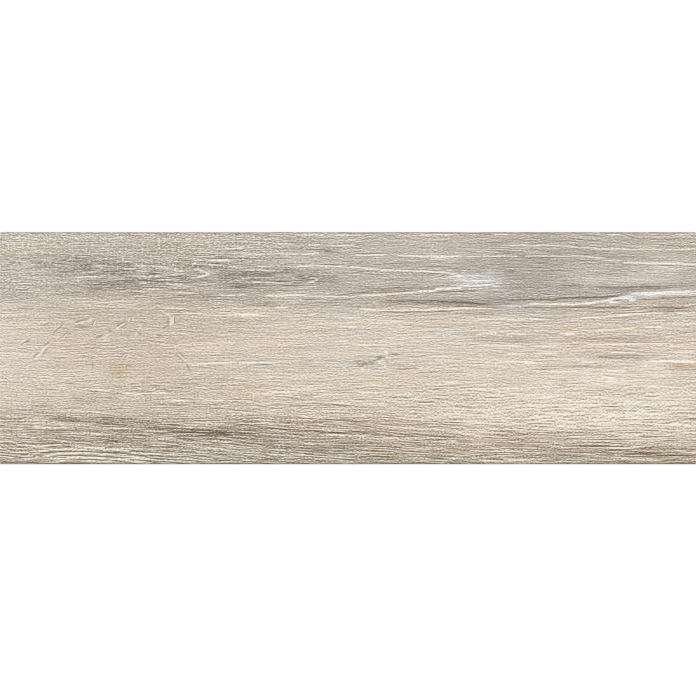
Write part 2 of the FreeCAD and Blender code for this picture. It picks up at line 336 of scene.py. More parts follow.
        (270, 85, 300, 85.2, 0.7), (222, 98, 236, 98.3, 0.6), (282, 98, 294, 98.2, 0.6),
        (89, 62.1, 101, 60.4, 0.6), (107, 58.4, 124, 58, 0.5), (90, 54, 101, 53.4, 0.5),
        (121, 55, 132, 52.4, 0.8), (56, 48.6, 76, 49.6, 1.2), (73, 50.6, 98, 52, 1.3),
        (94, 53.4, 128, 54.6, 0.9), (-110, 45.5, -87, 46, 0.8), (-73, 45.5, -40, 45.5, 0.8),
        (8, 45, 61, 49, 0.9, -0.7), (10, 33.9, 30, 32.4, 0.9), (27, 32.5, 62, 32.9, 0.8),
        (58, 32.8, 112, 34.5, 0.9, 0.2), (108, 34.2, 127, 34.3, 0.6), (154, 38, 170, 38, 0.8),
        (168, 37.6, 202, 37.9, 1.2), (198, 38, 212, 39.2, 1.2), (209, 39.1, 230, 41.6, 1.1),
        (224, 42.2, 246, 44.5, 1.1, 0.3), (232, 42.4, 247, 42.8, 0.8), (243, 47, 262, 47.8, 0.8),
        (258, 47.8, 300, 49.2, 0.75), (268, 46.2, 300, 46.6, 0.5), (257, 45.8, 274, 48, 0.8),
        (241, 40.6, 249, 40.8, 0.8), (228, 39.2, 236, 39.4, 0.8), (223, 39.5, 235, 39.3, 0.8),
        (199, 26, 223, 27, 0.8), (220, 26.9, 246, 29.3, 1, 0.2), (243, 29.2, 271, 30, 1, 0.2),
        (283, 30, 297, 30, 0.7), (-160, 34.5, -139, 34.5, 0.8), (-151, 30, -124, 30, 0.7),
        (-300, 28.8, -283, 28.8, 0.5), (-98, 28.5, -79, 28.5, 0.9, 0.5),
        (-60, 35.2, -52, 35.3, 0.7), (-6, 26.5, 14, 26, 0.7), (-60, 3, -51, 2, 0.6),
        (7, 3, 23, 2.5, 0.8), (-9, 18.3, 8, 18.3, 0.7), (108, 25, 157, 25, 0.6),
        (154, 25, 171, 24.8, 0.8), (109, 12, 118, 12, 0.8), (117, 13, 128, 12.5, 0.8),
        (139, 12.5, 156, 12, 0.7), (182, 12, 196, 12.5, 1.1), (113, 2.5, 147, 1.8, 0.7),
        (154, 2, 182, 1.8, 0.8), (213, 15.5, 223, 15.3, 0.7), (226, 16.2, 247, 17.3, 0.8),
        (253, 18, 271, 18.5, 0.9), (204, 3, 282, 4.3, 0.6), (-137, -14.5, -94, -12, 0.7, 0.3),
        (-96, -12.5, -60, -12.5, 0.9), (-31, -12.2, -26, -12.2, 0.7), (24, -12.8, 37, -12.5, 0.7),
        (71, -7.5, 86, -7, 0.6), (128, -11.5, 160, -11.7, 0.9), (149, -12.3, 160, -12.5, 1.2),
        (138, -5, 151, -4.8, 0.7), (159, -4.5, 181, -4.5, 0.8), (169, -20, 197, -20, 0.9),
        (200, -12, 211, -12, 0.9), (254, -11, 300, -11.8, 1.1), (225, -4, 246, -3.8, 0.9),
        (284, -3.5, 296, -3, 0.8), (225, -19.5, 237, -19, 0.8), (81, -29, 96, -29.5, 0.7),
        (-223, -34.7, -204, -37.1, 0.8, -0.3), (-214, -38.8, -204, -39.5, 0.6),
        (-195, -38.3, -179, -39.6, 1), (-181, -39.1, -158, -38.4, 0.7),
        (-151, -45.2, -141, -45.2, 0.9), (-119, -44.7, -104, -45.1, 0.8),
        (-71, -38, -47, -37.6, 0.8), (-60, -40.6, -46, -40.8, 0.7), (-21, -39.8, -4, -39.8, 0.6),
        (9, -38.5, 30, -38.5, 0.6), (-31, -41.5, -22, -41.9, 0.8), (182, -43.4, 195, -44.8, 0.8),
        (218, -25.1, 232, -25.4, 0.8), (219, -28.4, 228, -28.6, 0.8),
        (-300, -74.6, -274, -74.2, 0.7), (-232, -72.2, -198, -75, 0.8),
        (-240, -84.4, -190, -87, 0.8), (-190, -86.2, -162, -88.8, 0.9),
        (-192, -89.6, -158, -91.6, 0.9), (-190, -94, -162, -96.6, 0.9),
        (-192, -97.2, -168, -99, 0.8), (-128, -86, -102, -88.2, 0.8),
        (-118, -79.4, -94, -81.4, 0.8), (-272, -69, -240, -68.8, 0.8),
        (-300, -69.4, -276, -69.2, 0.7), (-150, -67.2, -130, -68.8, 0.8),
        (-300, -62.1, -277, -62.2, 0.7), (-280, -64.2, -260, -64.1, 0.7),
        (-257, -63.3, -238, -66.4, 0.8), (-242, -66, -206, -68.7, 0.8, 0.2),
        (-210, -68.5, -178, -70.1, 0.9), (-271, -67.5, -254, -67.6, 0.9),
        (-252, -68, -239, -68.3, 0.9), (-286, -71.5, -274, -71.6, 0.8),
        (-246, -72.5, -221, -74, 0.9), (-223, -73.9, -204, -75.2, 0.8),
        (-180, -71, -154, -70.6, 1, -0.5), (-143, -66.7, -123, -69, 0.7),
        (-182, -73.5, -164, -73.6, 0.9), (-157, -73.4, -139, -74.6, 0.8),
        (-141, -87.6, -118, -90.2, 0.8), (-117, -87, -99, -88.1, 0.9),
        (-162, -91.9, -141, -92.1, 1), (-30, -59.7, -9, -60.3, 0.7),
        (-17, -73.9, 19, -76.2, 0.8, -0.2), (29, -77, 45, -76.9, 1.1), (43, -77.2, 82, -77.2, 0.8),
        (71, -80.2, 94, -80.2, 0.9), (81, -82.9, 97, -82.6, 0.8, 0.7),
        (113, -96.2, 137, -98.6, 0.9, 0.3), (129, -95, 172, -99, 0.9),
        (80, -98, 97, -93.2, 0.9, 0.5), (97, -92.4, 105, -92.2, 0.8), (199, -79.6, 231, -80.1, 0.7),
        (224, -85.6, 247, -86.5, 0.9), (227, -92.1, 240, -91.2, 1), (282, -88.9, 300, -89.6, 0.9),
        (221, -95.8, 244, -95.5, 0.7), (180, -96.9, 203, -98.7, 0.9),
        (-280, -94.4, -263, -89, 1, 0.4), (-266, -89, -238, -86.9, 0.9, 0.6),
        (-242, -86.9, -182, -88.9, 1, 0.5), (-262, -93, -244, -90.3, 1, 0.4),
        (-248, -90.4, -200, -92.3, 1.2, 0.9), (-204, -92, -176, -93.6, 1),
        (-256, -95.6, -240, -94.4, 1, 0.3), (-246, -94.5, -206, -95.6, 1.2, 0.8),
        (-210, -95.4, -176, -97.8, 1.1), (-256, -98, -240, -97, 1.2, 0.2),
        (-230, -97.4, -198, -98.4, 1.2, 0.3), (-268, -84.6, -246, -83, 0.8, 0.3),
        # short pale lines of the cathedral
        (-236, 61, -206, 62.4, 0.5), (-222, 70.8, -196, 70.4, 0.5),
        (-186, 71.4, -160, 70.2, 0.6, 0.4), (-96, 60.2, -60, 61.2, 0.5),
        (-92, 67.2, -58, 66.4, 0.5, 0.3), (-86, 57.2, -46, 56.2, 0.5, -0.3),
        (-183, 62, -169, 61.8, 0.7), (-168, 61.8, -163, 61.8, 0.7), (-162, 59.2, -148, 59.4, 0.7),
        (-159, 55, -143, 55, 0.7), (-177, 50.8, -162, 50.8, 0.7), (-206, 60.5, -194, 60.8, 0.6),
        (-193, 68.6, -183, 68, 0.8), (-150, 48.4, -133, 47.2, 0.7), (-178, 56.4, -171, 56.3, 0.7),
        (-136, 75.4, -122, 75.8, 0.7),
    ],
    # soft wide streaks, with how much lighter or darker each is, in hundredths
    "streaks": [
        (-268, 78, -196, 70, 8, 0, -3), (-262, 67, -222, 66, 4, 0, -5),
        (-232, 55, -150, 54, 5, 0, -4), (-215, 57, -172, 57, 2, 0, -4),
        (-122, 64, -20, 60, 8, 0, -4), (-100, 54, -58, 53, 3, 0, -5),
        (-150, 46, -100, 44, 2, 0, -4), (5, 50.5, 92, 53, 2.4, -0.6, -8),
        (38, 48.5, 122, 50.5, 1.6, 0, -7), (25, 41, 128, 37.8, 3.2, 0.6, -7),
        (15, 31.4, 95, 31.8, 1.3, -0.4, -8), (178, 53, 236, 52.6, 2.2, 0, -3),
        (226, 51.6, 290, 52.2, 3.4, 0, -6), (140, 42, 240, 44.6, 2, -0.6, -9),
        (150, 35.4, 250, 35, 1.3, 0, -8), (262, 42.6, 306, 44.9, 1.2, 0, -6),
        (205, -7, 272, -8, 3.2, 0, -7), (180, -15.5, 240, -16, 2, 0, -5),
        (108, 8.5, 300, 7.5, 4, 0, -3), (236, 35.2, 300, 34.4, 1.6, 0, -6),
        (-262, -59, -145, -68, 5, 0.6, -8), (-190, -67.5, -72, -73.5, 3, -0.5, -7),
        (-150, -75, -60, -80, 6, 0, -4), (0, -83, 110, -86, 7, 0, -4),
        (180, -84, 300, -91, 5, 0, -6), (245, -85.6, 300, -88, 1.8, 0, -8),
        (228, -90.2, 300, -93.4, 2.8, 0, -5), (-300, -61.4, -272, -61.6, 1.6, 0, -8),
        (-94, -58, -74, -67, 3, 0, -5), (-28, -60.5, 14, -63, 1.7, 0, -8),
        (-4, -73.8, 42, -75.6, 1.1, 0, -8), (84, 58, 140, 56.5, 11, 0.5, 1.6),
        (90, 59.2, 135, 57.6, 5.6, 0, 6), (50, 48.4, 102, 52.4, 1.8, 0, 6),
        (229, 42.8, 276, 47.2, 3.6, 0.4, 4), (252, 46.8, 310, 49, 2.8, 0, 2.5),
        (130, 37, 166, 37.6, 1.6, 0, 8), (60, 78.4, 98, 78.6, 2, 0, 5),
        (150, 79.4, 222, 77.6, 1.6, 0.4, 5), (222, 76, 300, 72.4, 1.6, 0, 5),
        (-300, 92, -262, 88, 7, 0, 3), (215, 64, 300, 66, 7, 0, 4), (120, -40, 300, -58, 20, 0, 3),
        (262, -11.3, 300, -11.6, 2, 0, 5), (-60, -38, -10, -38, 5, 0, 2),
        (-120, -66, -60, -68, 4, 0, -3),
    ],
}

# Washes of the print: middle, half length and half width in mm, and what they multiply the colour by
washes = [
    (-165, 0, 130, 140, (0.94, 0.925, 0.895)), (172, 62, 95, 60, (0.935, 0.94, 0.945)),
    (118, -74, 40, 14, (1.06, 1.06, 1.07)),
    # grey-brown upper band
    (-235, 74, 48, 14, 0.9), (-80, 66, 68, 12, 0.93), (-25, 60, 26, 8, (0.88, 0.86, 0.88)),
    (-18, 84, 14, 3, (0.84, 0.8, 0.76)), (-284, 66, 13, 9, (0.97, 0.985, 1.03)),
    (-260, 57, 9, 5, (0.96, 1, 1.03)), (-292, 84, 12, 9, (1.03, 1.05, 0.95)),
    (113, 57.5, 30, 12, (1.07, 1.19, 1.31)), (80, 60, 18, 6, (1.06, 1.07, 1.09)),
    (80, 78, 12, 1.6, (1.08, 1.12, 1.2)), (140, 65.5, 11, 3, (0.88, 0.85, 0.84)),
    (150, 95, 16, 3, (1.04, 1.02, 0.9)), (128, 95, 10, 2, (1.1, 1, 0.88)),
    (120, 85, 14, 4, (0.98, 0.97, 1.02)), (190, 94, 14, 4, (1.05, 1, 0.98)),
    (60, 94, 18, 3, (1.04, 1, 0.92)), (270, 72, 34, 12, (1.08, 1.09, 1.1)),
    (245, 52, 46, 3.4, (0.88, 0.87, 0.86)), (235, 59, 80, 7, (1.1, 1.1, 1.11)),
    (284, 51.8, 24, 2.6, (0.92, 0.98, 1.04)), (-75, 38, 22, 4, (0.92, 0.88, 0.84)),
    (-70, 42.5, 14, 2, (0.98, 0.99, 0.88)), (-142, 38, 16, 3, (0.98, 0.95, 1)),
    (-134, 33.4, 12, 1.8, (1.08, 1.06, 0.88)), (10, 38, 60, 4, (0.9, 0.9, 0.92)),
    (92, 39, 40, 2.6, (0.9, 0.89, 0.88)), (140, 36.8, 16, 2.6, (1.08, 1.15, 1.38)),
    (160, 36, 12, 2, (0.96, 0.93, 1.02)), (205, 32, 40, 5, (0.97, 0.96, 0.95)),
    (272, 33, 36, 3.6, (0.9, 0.88, 0.87)), (248, 44.8, 21, 4.8, (1.06, 1.17, 1.3)),
    (278, 48, 36, 4, (1.1, 1.18, 1.26)), (255, 40, 20, 2, (1.08, 0.97, 0.86)),
    (282, 35, 22, 3, (0.92, 0.84, 0.8)), (232, 35, 14, 1.5, (0.92, 0.82, 0.76)),
    # cream middle
    (-280, -12, 26, 18, (0.97, 0.99, 1.03)), (-251, -20, 8, 7, (0.94, 0.98, 0.97)),
    (-262, -25, 8, 5, (1.04, 1.07, 0.99)), (-198, -20, 13, 11, (0.98, 0.92, 0.8)),
    (-190, -15, 7, 3, (1, 0.9, 0.78)), (-146, -25, 7, 4, (0.97, 1.02, 1.03)),
    (-75, -13, 22, 5, (0.92, 0.96, 0.99)), (-78, -16, 9, 2, (0.92, 0.99, 1)),
    (-95, 23, 16, 2, (0.96, 0.9, 0.84)), (-2, -12.6, 14, 3.6, (0.95, 1.02, 1.05)),
    (14, -13.5, 14, 4, (0.9, 0.93, 0.93)), (27, -8, 8, 4.6, (0.87, 0.97, 0.99)),
    (62, -9, 34, 4.6, (0.98, 1.02, 1.07)), (86, 12, 16, 3.2, (0.9, 1.06, 1.2)),
    (68, 10, 6, 1.6, (1.04, 1.04, 1.12)), (-5, 31.5, 34, 3, (0.92, 0.95, 1.02)),
    (140, 32, 24, 2.2, (1, 1, 0.9)), (150, 16.5, 12, 2.4, (1.06, 0.95, 0.84)),
    (140, 7, 42, 3.6, (0.91, 0.89, 0.89)), (205, 8, 26, 3.4, (0.93, 0.89, 0.9)),
    (145, 6.5, 6, 1.8, (0.98, 0.86, 0.82)), (192, 17, 16, 2.6, (1.06, 0.98, 0.84)),
    (240, 19, 14, 2, (1.04, 0.95, 0.82)), (235, -7.5, 28, 2.8, (0.86, 0.86, 0.87)),
    (202, -15.5, 24, 2, (0.9, 0.88, 0.91)), (172, -16, 9, 3, (0.88, 0.89, 0.91)),
    (288, -15.8, 18, 2.6, (0.98, 0.8, 0.62)), (258, -15.5, 12, 2, (1.04, 1.03, 1.06)),
    (5, -27, 8, 3, (1.04, 0.99, 0.99)), (50, -27, 12, 4, (1.02, 0.97, 0.93)),
    (-12, -25, 9, 3.5, (1, 1, 0.9)), (24, -27, 16, 3, (1.02, 1, 0.9)),
    (-108, -26.5, 12, 2, (0.92, 0.9, 0.78)), (-85, -33, 26, 5, (1, 1, 0.93)),
    (235, -26, 10, 4, (1.04, 1, 0.98)), (120, -45, 4, 3.5, (1, 1.03, 0.97)),
    (140, -34, 8, 4, (1.02, 1, 0.9)), (210, -46, 120, 28, (1.03, 1.05, 1.085)),
    (240, -20, 80, 12, (1.05, 1.06, 1.08)), (8, 15.5, 20, 2.4, (0.88, 1, 1.12)),
    (37, 14.6, 12, 2, (0.94, 1.02, 1.12)),
    # brown lower band
    (-234, -43, 5, 2, (0.86, 0.78, 0.74)), (-250, -60, 11, 5, (0.82, 0.8, 0.66)),
    (-237, -60.5, 9, 3, (0.86, 0.76, 0.66)), (-288, -61.5, 14, 1.6, (0.96, 0.88, 0.78)),
    (-150, -73, 60, 6, (0.86, 0.84, 0.8)), (-108, -74, 22, 3, (0.88, 0.81, 0.74)),
    (-152, -84.5, 10, 2, (0.98, 0.8, 0.64)), (-157, -88, 9, 1.5, (1.08, 0.88, 0.7)),
    (-282, -88, 22, 12, (1.04, 1.05, 1.05)), (-262, -96, 6, 2.2, (0.96, 1, 0.66)),
    (-118, -98.3, 11, 1.6, (1.1, 1.1, 1.2)), (-74, -97, 5, 1.4, (0.94, 0.96, 0.7)),
    (-30, -75, 7, 3, (0.94, 0.91, 0.98)), (-16, -77.5, 5, 2, (1.06, 1.02, 1.08)),
    (24, -87, 6, 4.4, (1, 0.86, 0.76)), (36, -91, 26, 2.2, (1.02, 0.9, 0.8)),
    (52, -97, 9, 2, (0.86, 0.92, 0.88)), (7, -98.5, 9, 1.2, (1.02, 1, 1.08)),
    (95, -97, 22, 2.4, (0.9, 0.96, 0.98)), (90, -88, 30, 3, (1, 0.95, 0.92)),
    (232, -97.2, 16, 2, (0.86, 0.86, 0.62)), (272, -96.8, 10, 2, (0.98, 0.98, 0.66)),
    (290, -97, 9, 2.2, (1, 0.98, 1.06)), (255, -91.3, 50, 3.6, (0.9, 0.88, 0.85)),
    (256, -86.3, 8, 1.6, (0.86, 0.85, 0.74)), (287, -82.5, 7, 1.6, (1, 1.02, 0.88)),
    (234, -75, 8, 3, (1, 0.94, 0.98)), (221, -98, 4, 1.2, (1.1, 0.92, 0.86)),
    (0, -86, 80, 8, (0.95, 0.93, 0.91)),
    # the larger light and dark regions
    (-205, 54, 42, 6, 0.9), (-95, 54, 30, 5, (0.88, 0.87, 0.87)), (-195, 42, 90, 9, 1.08),
    (-50, 46, 28, 5, 1.12), (-262, 46, 30, 5, (1.07, 1.07, 1.05)),
    (-100, 30, 44, 7, (1.11, 1.11, 1.12)), (-105, 2, 60, 10, (1.05, 1.06, 1.06)),
    (2, -13, 56, 7, (0.94, 0.95, 0.97)), (100, 38.8, 80, 4, (0.9, 0.89, 0.88)),
    (125, 31, 50, 4, (0.93, 0.92, 0.92)), (36, 22, 36, 7, (1.06, 1.08, 1.1)),
    (240, 7.5, 42, 5, (0.91, 0.9, 0.9)), (112, 8, 16, 4, (0.94, 0.95, 0.96)),
    (225, -15.7, 50, 3.6, (0.95, 0.96, 0.97)), (112, -35, 20, 9, (1.06, 1.06, 1.07)),
    (-150, -74, 230, 28, (0.955, 0.95, 0.95)), (-282, -55, 40, 5, (0.87, 0.85, 0.84)),
    (-200, -62, 150, 5, (0.95, 0.94, 0.93)), (-10, -62, 60, 4, (0.92, 0.91, 0.91)),
    (-98, -71, 30, 4.5, (0.88, 0.86, 0.85)), (-286, -78, 24, 4, (0.93, 0.92, 0.92)),
    (-145, -90, 60, 8, (0.93, 0.92, 0.92)), (-58, -86, 24, 5, (0.9, 0.89, 0.89)),
    (5, -94, 60, 5, 0.93), (200, -93.5, 66, 4.5, (0.92, 0.91, 0.91)),
    (178, -86, 24, 4, (0.91, 0.9, 0.9)), (75, 82, 72, 12, (1.03, 1.06, 1.08)),
    (50, 4, 44, 12, (1.02, 1.045, 1.055)), (110, -56, 54, 11, (1.07, 1.08, 1.09)),
    (165, -69, 34, 6, (1.07, 1.06, 1.06)), (225, -54.5, 26, 4, (0.95, 0.94, 0.95)),
    (286, -47, 22, 9, (1.06, 1.07, 1.09)), (5, -77.5, 26, 4, 0.93),
    (-250, -85.5, 60, 4.5, (1.09, 1.09, 1.11)), (-162, -54.5, 16, 5, (1.07, 1.06, 1.08)),
    (48, 38.6, 28, 4, (0.93, 0.93, 0.94)), (137, 38.6, 16, 3.6, (0.91, 0.91, 0.93)),
    (237, 46, 16, 5, (0.94, 0.94, 0.95)), (205, 66, 32, 9, 1.09),
    (-37, -14.5, 20, 5, (0.94, 0.95, 0.95)), (37, -16, 18, 4, (0.94, 0.95, 0.97)),
    (37, 93, 16, 5, 0.95), (-212, -39, 18, 5, 0.94), (-37, 38.6, 18, 4, (0.94, 0.95, 0.95)),
    (112, -35, 16, 8, (1.03, 1.04, 1.05)), (-180, 63, 44, 11, (0.94, 0.94, 0.955)),
    (-175, 38, 75, 9, 1.035), (100, 38, 60, 8, (0.965, 0.97, 0.98)),
    (118, -62, 40, 12, (1.035, 1.035, 1.04)), (-25, -88, 40, 9, 0.965),
    (275, -40, 40, 12, (1.03, 1.03, 1.035)), (290, -16, 18, 4, (0.93, 0.93, 0.94)),
    (237, -23.5, 20, 5, 0.95), (205, -66, 70, 8, 1.03),
]

# Flecks that run across the grain, in mm: both ends, half thickness, bow
flecks = {
    "width": 1.5,                 # how much thicker they are printed
    "darkLook": (0.75, (136, 122, 104)),      # strength and colour on screen
    "paleLook": (0.62, (246, 239, 226)),
    "whiteLook": (0.75, (255, 254, 250)),     # these flicker with the specks
    "dark": [
        (-264, 18.6, -256.5, 22.6, 0.45, 0.2), (-255, 12, -245.5, 20, 0.5, 0.5),
        (-250.5, 16.4, -244, 21.4, 0.4), (-247, 9.6, -240.5, 14.6, 0.5),
        (-242.4, 10.6, -239, 14, 0.4), (-236.5, 22, -224, 24.6, 0.6, 0.5),
        (-238, 18.4, -221, 18.2, 0.5, -0.3), (-236.5, 19.6, -229, 21, 0.4),
        (-221, 17.6, -217.4, 25.6, 0.4, 0.3), (-218, 8, -211, 11.8, 0.6),
        (-207, 12, -202.5, 15.2, 0.5), (-205.6, 13.6, -205, 17.4, 0.35),
        (-200.4, 18, -191, 23.4, 0.6, 0.3), (-197.4, 16.4, -190, 21, 0.4),
        (-187.2, 23, -186.8, 26.4, 0.35), (-184, 14.8, -179.6, 14.2, 0.4, 0.3),
        (-180.6, 13.6, -178, 10.8, 0.4), (-178.4, 18.8, -173.6, 22, 0.4, 0.2),
        (-283, 2.4, -272, 8, 0.5, 0.4), (-155.2, 27, -154.8, 18.6, 0.45),
        (-160.6, 16.6, -154.8, 20.4, 0.5, -0.3), (-166, 11, -158, 10.2, 0.5, 0.3),
        (-149.4, 19.6, -149.6, 28, 0.3), (-150, -4, -141, -11.6, 0.5, 0.4),
        (-146, -3.2, -140.4, -8.4, 0.4, 0.3), (-140, -12.6, -135.8, -19.4, 0.5, 0.3),
        (-272, -8.4, -265.6, -2.6, 0.45), (-264, -5.4, -257.4, 1, 0.4, -0.4),
        (-262.4, 1, -257, 5.6, 0.5, 0.2), (-196, -8.6, -192, -4.4, 0.4, 0.2),
        (-192.6, -9.4, -190.8, -5.6, 0.35), (-220.3, -10, -219.6, -19, 0.4),
        # the little knot
        (7.4, -11.4, 10, -15.6, 0.45, 0.4), (10, -15.8, 14.2, -13, 0.45, -0.3),
        (13.4, -12, 17.6, -14.2, 0.4), (17, -11.2, 22.4, -12.8, 0.4, 0.2),
        (20.6, -12.2, 33, -6.6, 0.5, 0.3), (24, -9.4, 31, -5.2, 0.35),
        (31.4, -11.4, 36, -12.8, 0.45, 0.2), (34.6, -5.4, 45, -5.2, 0.5, 0.2),
        (40, -18.4, 62, -17.2, 0.4, 0.2),
    ],
    "pale": [
        (-264, 20.2, -257, 23.8, 0.45, 0.2), (-254, 14, -247, 20.4, 0.45, 0.4),
        (-245.6, 9.4, -240.6, 13.2, 0.45), (-238, 20.2, -224, 23.4, 0.5, -0.3),
        (-224.6, 23.2, -219.8, 26.6, 0.7, -0.5), (-219.8, 18.4, -216.8, 24.4, 0.4, 0.2),
        (-214, 7.4, -202, 15, 0.6, -0.4), (-203, 14.4, -190.4, 22.8, 0.6, -0.2),
        (-212, 5, -206.4, 9.2, 0.4), (-189.4, 21.8, -187.4, 26.8, 0.5, 0.3),
        (-185.2, 27, -185.4, 22, 0.45, 0.4), (-183.2, 8.4, -181.6, 14, 0.5, 0.2),
        (-182.4, 12.6, -175.4, 21.6, 0.5, 0.5), (-167, 8.6, -165.6, 13.8, 0.4),
        (-161, 33, -158, 30.2, 0.7), (-158.5, 30.2, -152.6, 27, 0.8, 0.8),
        (-152.5, 27.8, -152.4, 18.4, 1.1, 0.5), (-150.6, 28, -150.2, 20, 0.4),
        (-283, 3.8, -276.6, 7.6, 0.7, 0.3), (-271, -10, -263.6, -4.2, 0.6, -0.3),
        (-265, -5, -258, 4, 0.7, 0.4), (-148, -4.6, -139.6, -12, 0.6, 0.6),
        (-195, -9.4, -191, -4.8, 0.4, 0.2), (-190.6, -8.8, -188.4, -4, 0.4),
        (-132.5, 68.8, -121.5, 64.6, 0.5, 0.5), (-136, 60.1, -120, 63.2, 0.5, -0.6),
        (-123, 64.2, -118.8, 63.5, 1.1), (-35, 56.6, -27, 59, 0.45, -0.4),
        (-32, 61, -26, 59.2, 0.4, 0.3), (-29, 59.5, -25, 58.8, 0.9),
    ],
    "white": [
        (31, -3.3, 35, -4.2, 0.8), (33, -6.4, 33.8, -8.4, 0.6),
        (23.5, -11.6, 31.8, -10.7, 0.65, 0.2), (31.4, -14.8, 32.6, -16.4, 0.7),
        (10, -18.2, 15, -18, 0.5),
    ],
}

# How the figure is drawn on the face and pressed into it; lengths in mm
relief = {
    "depth": 0.14 * mm,           # how deep the darkest seams are pressed
    "endFade": 3,                 # the relief dies out over this length at the short sides
    "sideFade": 1.6,              # and at the long sides
    "flatRim": 0.45,              # the outer part of both that stays flat
    "seamWidth": 0.7,             # how wide the drawn seams and pale lines are printed
    "paleWidth": 1.0,
    "crown": 1.25,                # how full a line is across its middle
    "flank": 0.4,                 # how strongly it is set off by its two flanks
    "flankReach": 2.4,            # how far they go, in half widths of the line
    "endFullness": 1.9,           # how blunt its ends are
    "ripple": (0.18, 0.71),       # how much a line comes and goes along the grain, and its pace
    "runOff": 8,                  # how far a line that reaches the tile's end runs past it
    "tint": 0.55,                 # how colourful the washes are
    # the slight wavers: height, pace along the grain and turn from one row to the next, of two waves
    "lineWaver": ((0.16, 0.27, 1), (0.08, 0.53, 2)),
    "washWaver": ((0.12, 0.21, 1), (0.1, 0.57, 1.7)),
    "streakWaver": ((0.16, 0.13, 1), (0.1, 0.31, 2)),
}

# The pores and pale threads that are drawn at random between the lines of the figure
chanceGrain = {
    # how many, seed, shortest and longest, thinnest and thickest, lowest and highest across, in mm
    "pores": (5200, 11, (8, 26), (0.34, 0.56), (-98.6, 98.6)),
    "threads": (480, 12, (16, 60), (0.34, 0.46), (-98.6, -54)),
    "lowerBand": (-38, -62),      # where the brown band begins and where it is full
    "upperBand": (34, 48),        # and the grey-brown one
    "fall": -0.06,                # slope of the grain in the brown band
    "unevenFall": 0.012,
    "strength": (0.15, 0.55),     # weakest and strongest
    "everywhere": 0.6,            # share of that in the middle, and what the two bands add
    "lower": 0.9,
    "upper": 0.35,
    "ovals": (-236, -100, 56, 17),      # middle, half length and half width of the nested ovals
}


def ramp(value, start, end):
    # 0 before start, 1 after end
    return np.clip((value - start) / (end - start), 0, 1)


def facePoints(thing):
    # the points of the flat face, sorted along the grain, in mm
    where = places(thing) / mm
    index = np.flatnonzero(where[:, 2] > slab["top"] / mm - 0.001)
    index = index[np.argsort(where[index, 0], kind="stable")]
    return {"index": index, "x": where[index, 0], "y": where[index, 1]}


def waver(kind, x, number):
    return sum(height * np.sin(x * pace + turn * number) for height, pace, turn in relief[kind])


def middleLine(x, startX, startY, endX, endY, bow):
    # how far along a stroke each point lies, from -1 to 1, and where the stroke's middle is there
    along = (x - startX) / (endX - startX) * 2 - 1
    return along, startY + (endY - startY) * (along + 1) / 2 + bow * (1 - along ** 2)


def drawStrokes(face, rows, width=1, strengths=None):
    # each stroke is a thin lens, below 0 on its flanks; where two cross, the stronger one counts
    drawn = np.zeros(len(face["x"]))
    ripple, pace = relief["ripple"]
    for number, row in enumerate(rows):
        startX, startY, endX, endY, thickness, bow = (*row, 0)[:6]
        startX -= relief["runOff"] * (startX <= -faceHalf[0])
        endX += relief["runOff"] * (endX >= faceHalf[0])
        near = slice(*np.searchsorted(face["x"], (startX, endX)))
        x, y = face["x"][near], face["y"][near]
        along, line = middleLine(x, startX, startY, endX, endY, bow)
        line += waver("lineWaver", x, number)
        across = np.abs(y - line) / (thickness * width)
        mark = np.clip(relief["crown"] * (1 - across ** 2), -relief["flank"], 1)
        mark *= np.clip(relief["flankReach"] - across, 0, 1)
        ends = np.clip(relief["endFullness"] * (1 - along ** 2), 0, 1)
        mark *= ends * (1 - ripple + ripple * np.sin(x * pace + 3 * number))
        mark *= 1 if strengths is None else strengths[number]
        drawn[near] = np.where(np.abs(mark) > np.abs(drawn[near]), mark, drawn[near])
    return drawn


def drawAtRandom(face, kind):
    # stronger in the two bands, and falling to the right in the brown one
    count, seed, lengths, thicknesses, between = chanceGrain[kind]
    chance = np.random.default_rng(seed)
    middleX = chance.uniform(-faceHalf[0], faceHalf[0], count)
    middleY = chance.uniform(*between, count)
    half = chance.uniform(*lengths, count) / 2
    lower = ramp(middleY, *chanceGrain["lowerBand"])
    upper = ramp(middleY, *chanceGrain["upperBand"])
    slope = chanceGrain["fall"] * lower + chance.normal(0, chanceGrain["unevenFall"], count)
    strength = chance.uniform(*chanceGrain["strength"], count)
    strength *= chanceGrain["everywhere"] + chanceGrain["lower"] * lower + chanceGrain["upper"] * upper
    # few of them cross the nested ovals
    ovalX, ovalY, ovalLength, ovalWidth = chanceGrain["ovals"]
    fromOvals = np.hypot((middleX - ovalX) / ovalLength, (middleY - ovalY) / ovalWidth)
    strength *= np.clip(fromOvals * 2 - 1.2, 0.2, 1)
    lastX = faceHalf[0] - 0.1       # none runs off the tile's end
    rows = np.column_stack([
        np.maximum(middleX - half, -lastX), middleY - slope * half,
        np.minimum(middleX + half, lastX), middleY + slope * half,
        chance.uniform(*thicknesses, count)])
    return drawStrokes(face, rows.tolist(), 1, strength)


def drawWashes(face):
    # soft tints that multiply the print's colour
    tint = np.ones((len(face["x"]), 3))
    for number, (middleX, middleY, halfLength, halfWidth, colour) in enumerate(washes):
        ragged = waver("washWaver", face["x"], number)
        far = ((face["x"] - middleX) / halfLength) ** 2 + ((face["y"] - middleY) / halfWidth + ragged) ** 2
        weight = np.clip(1 - far, 0, 1) ** 1.5
        grey = np.mean(colour)
        tint *= 1 + weight[:, None] * (grey + (np.array(colour) - grey) * relief["tint"] - 1)
    return tint


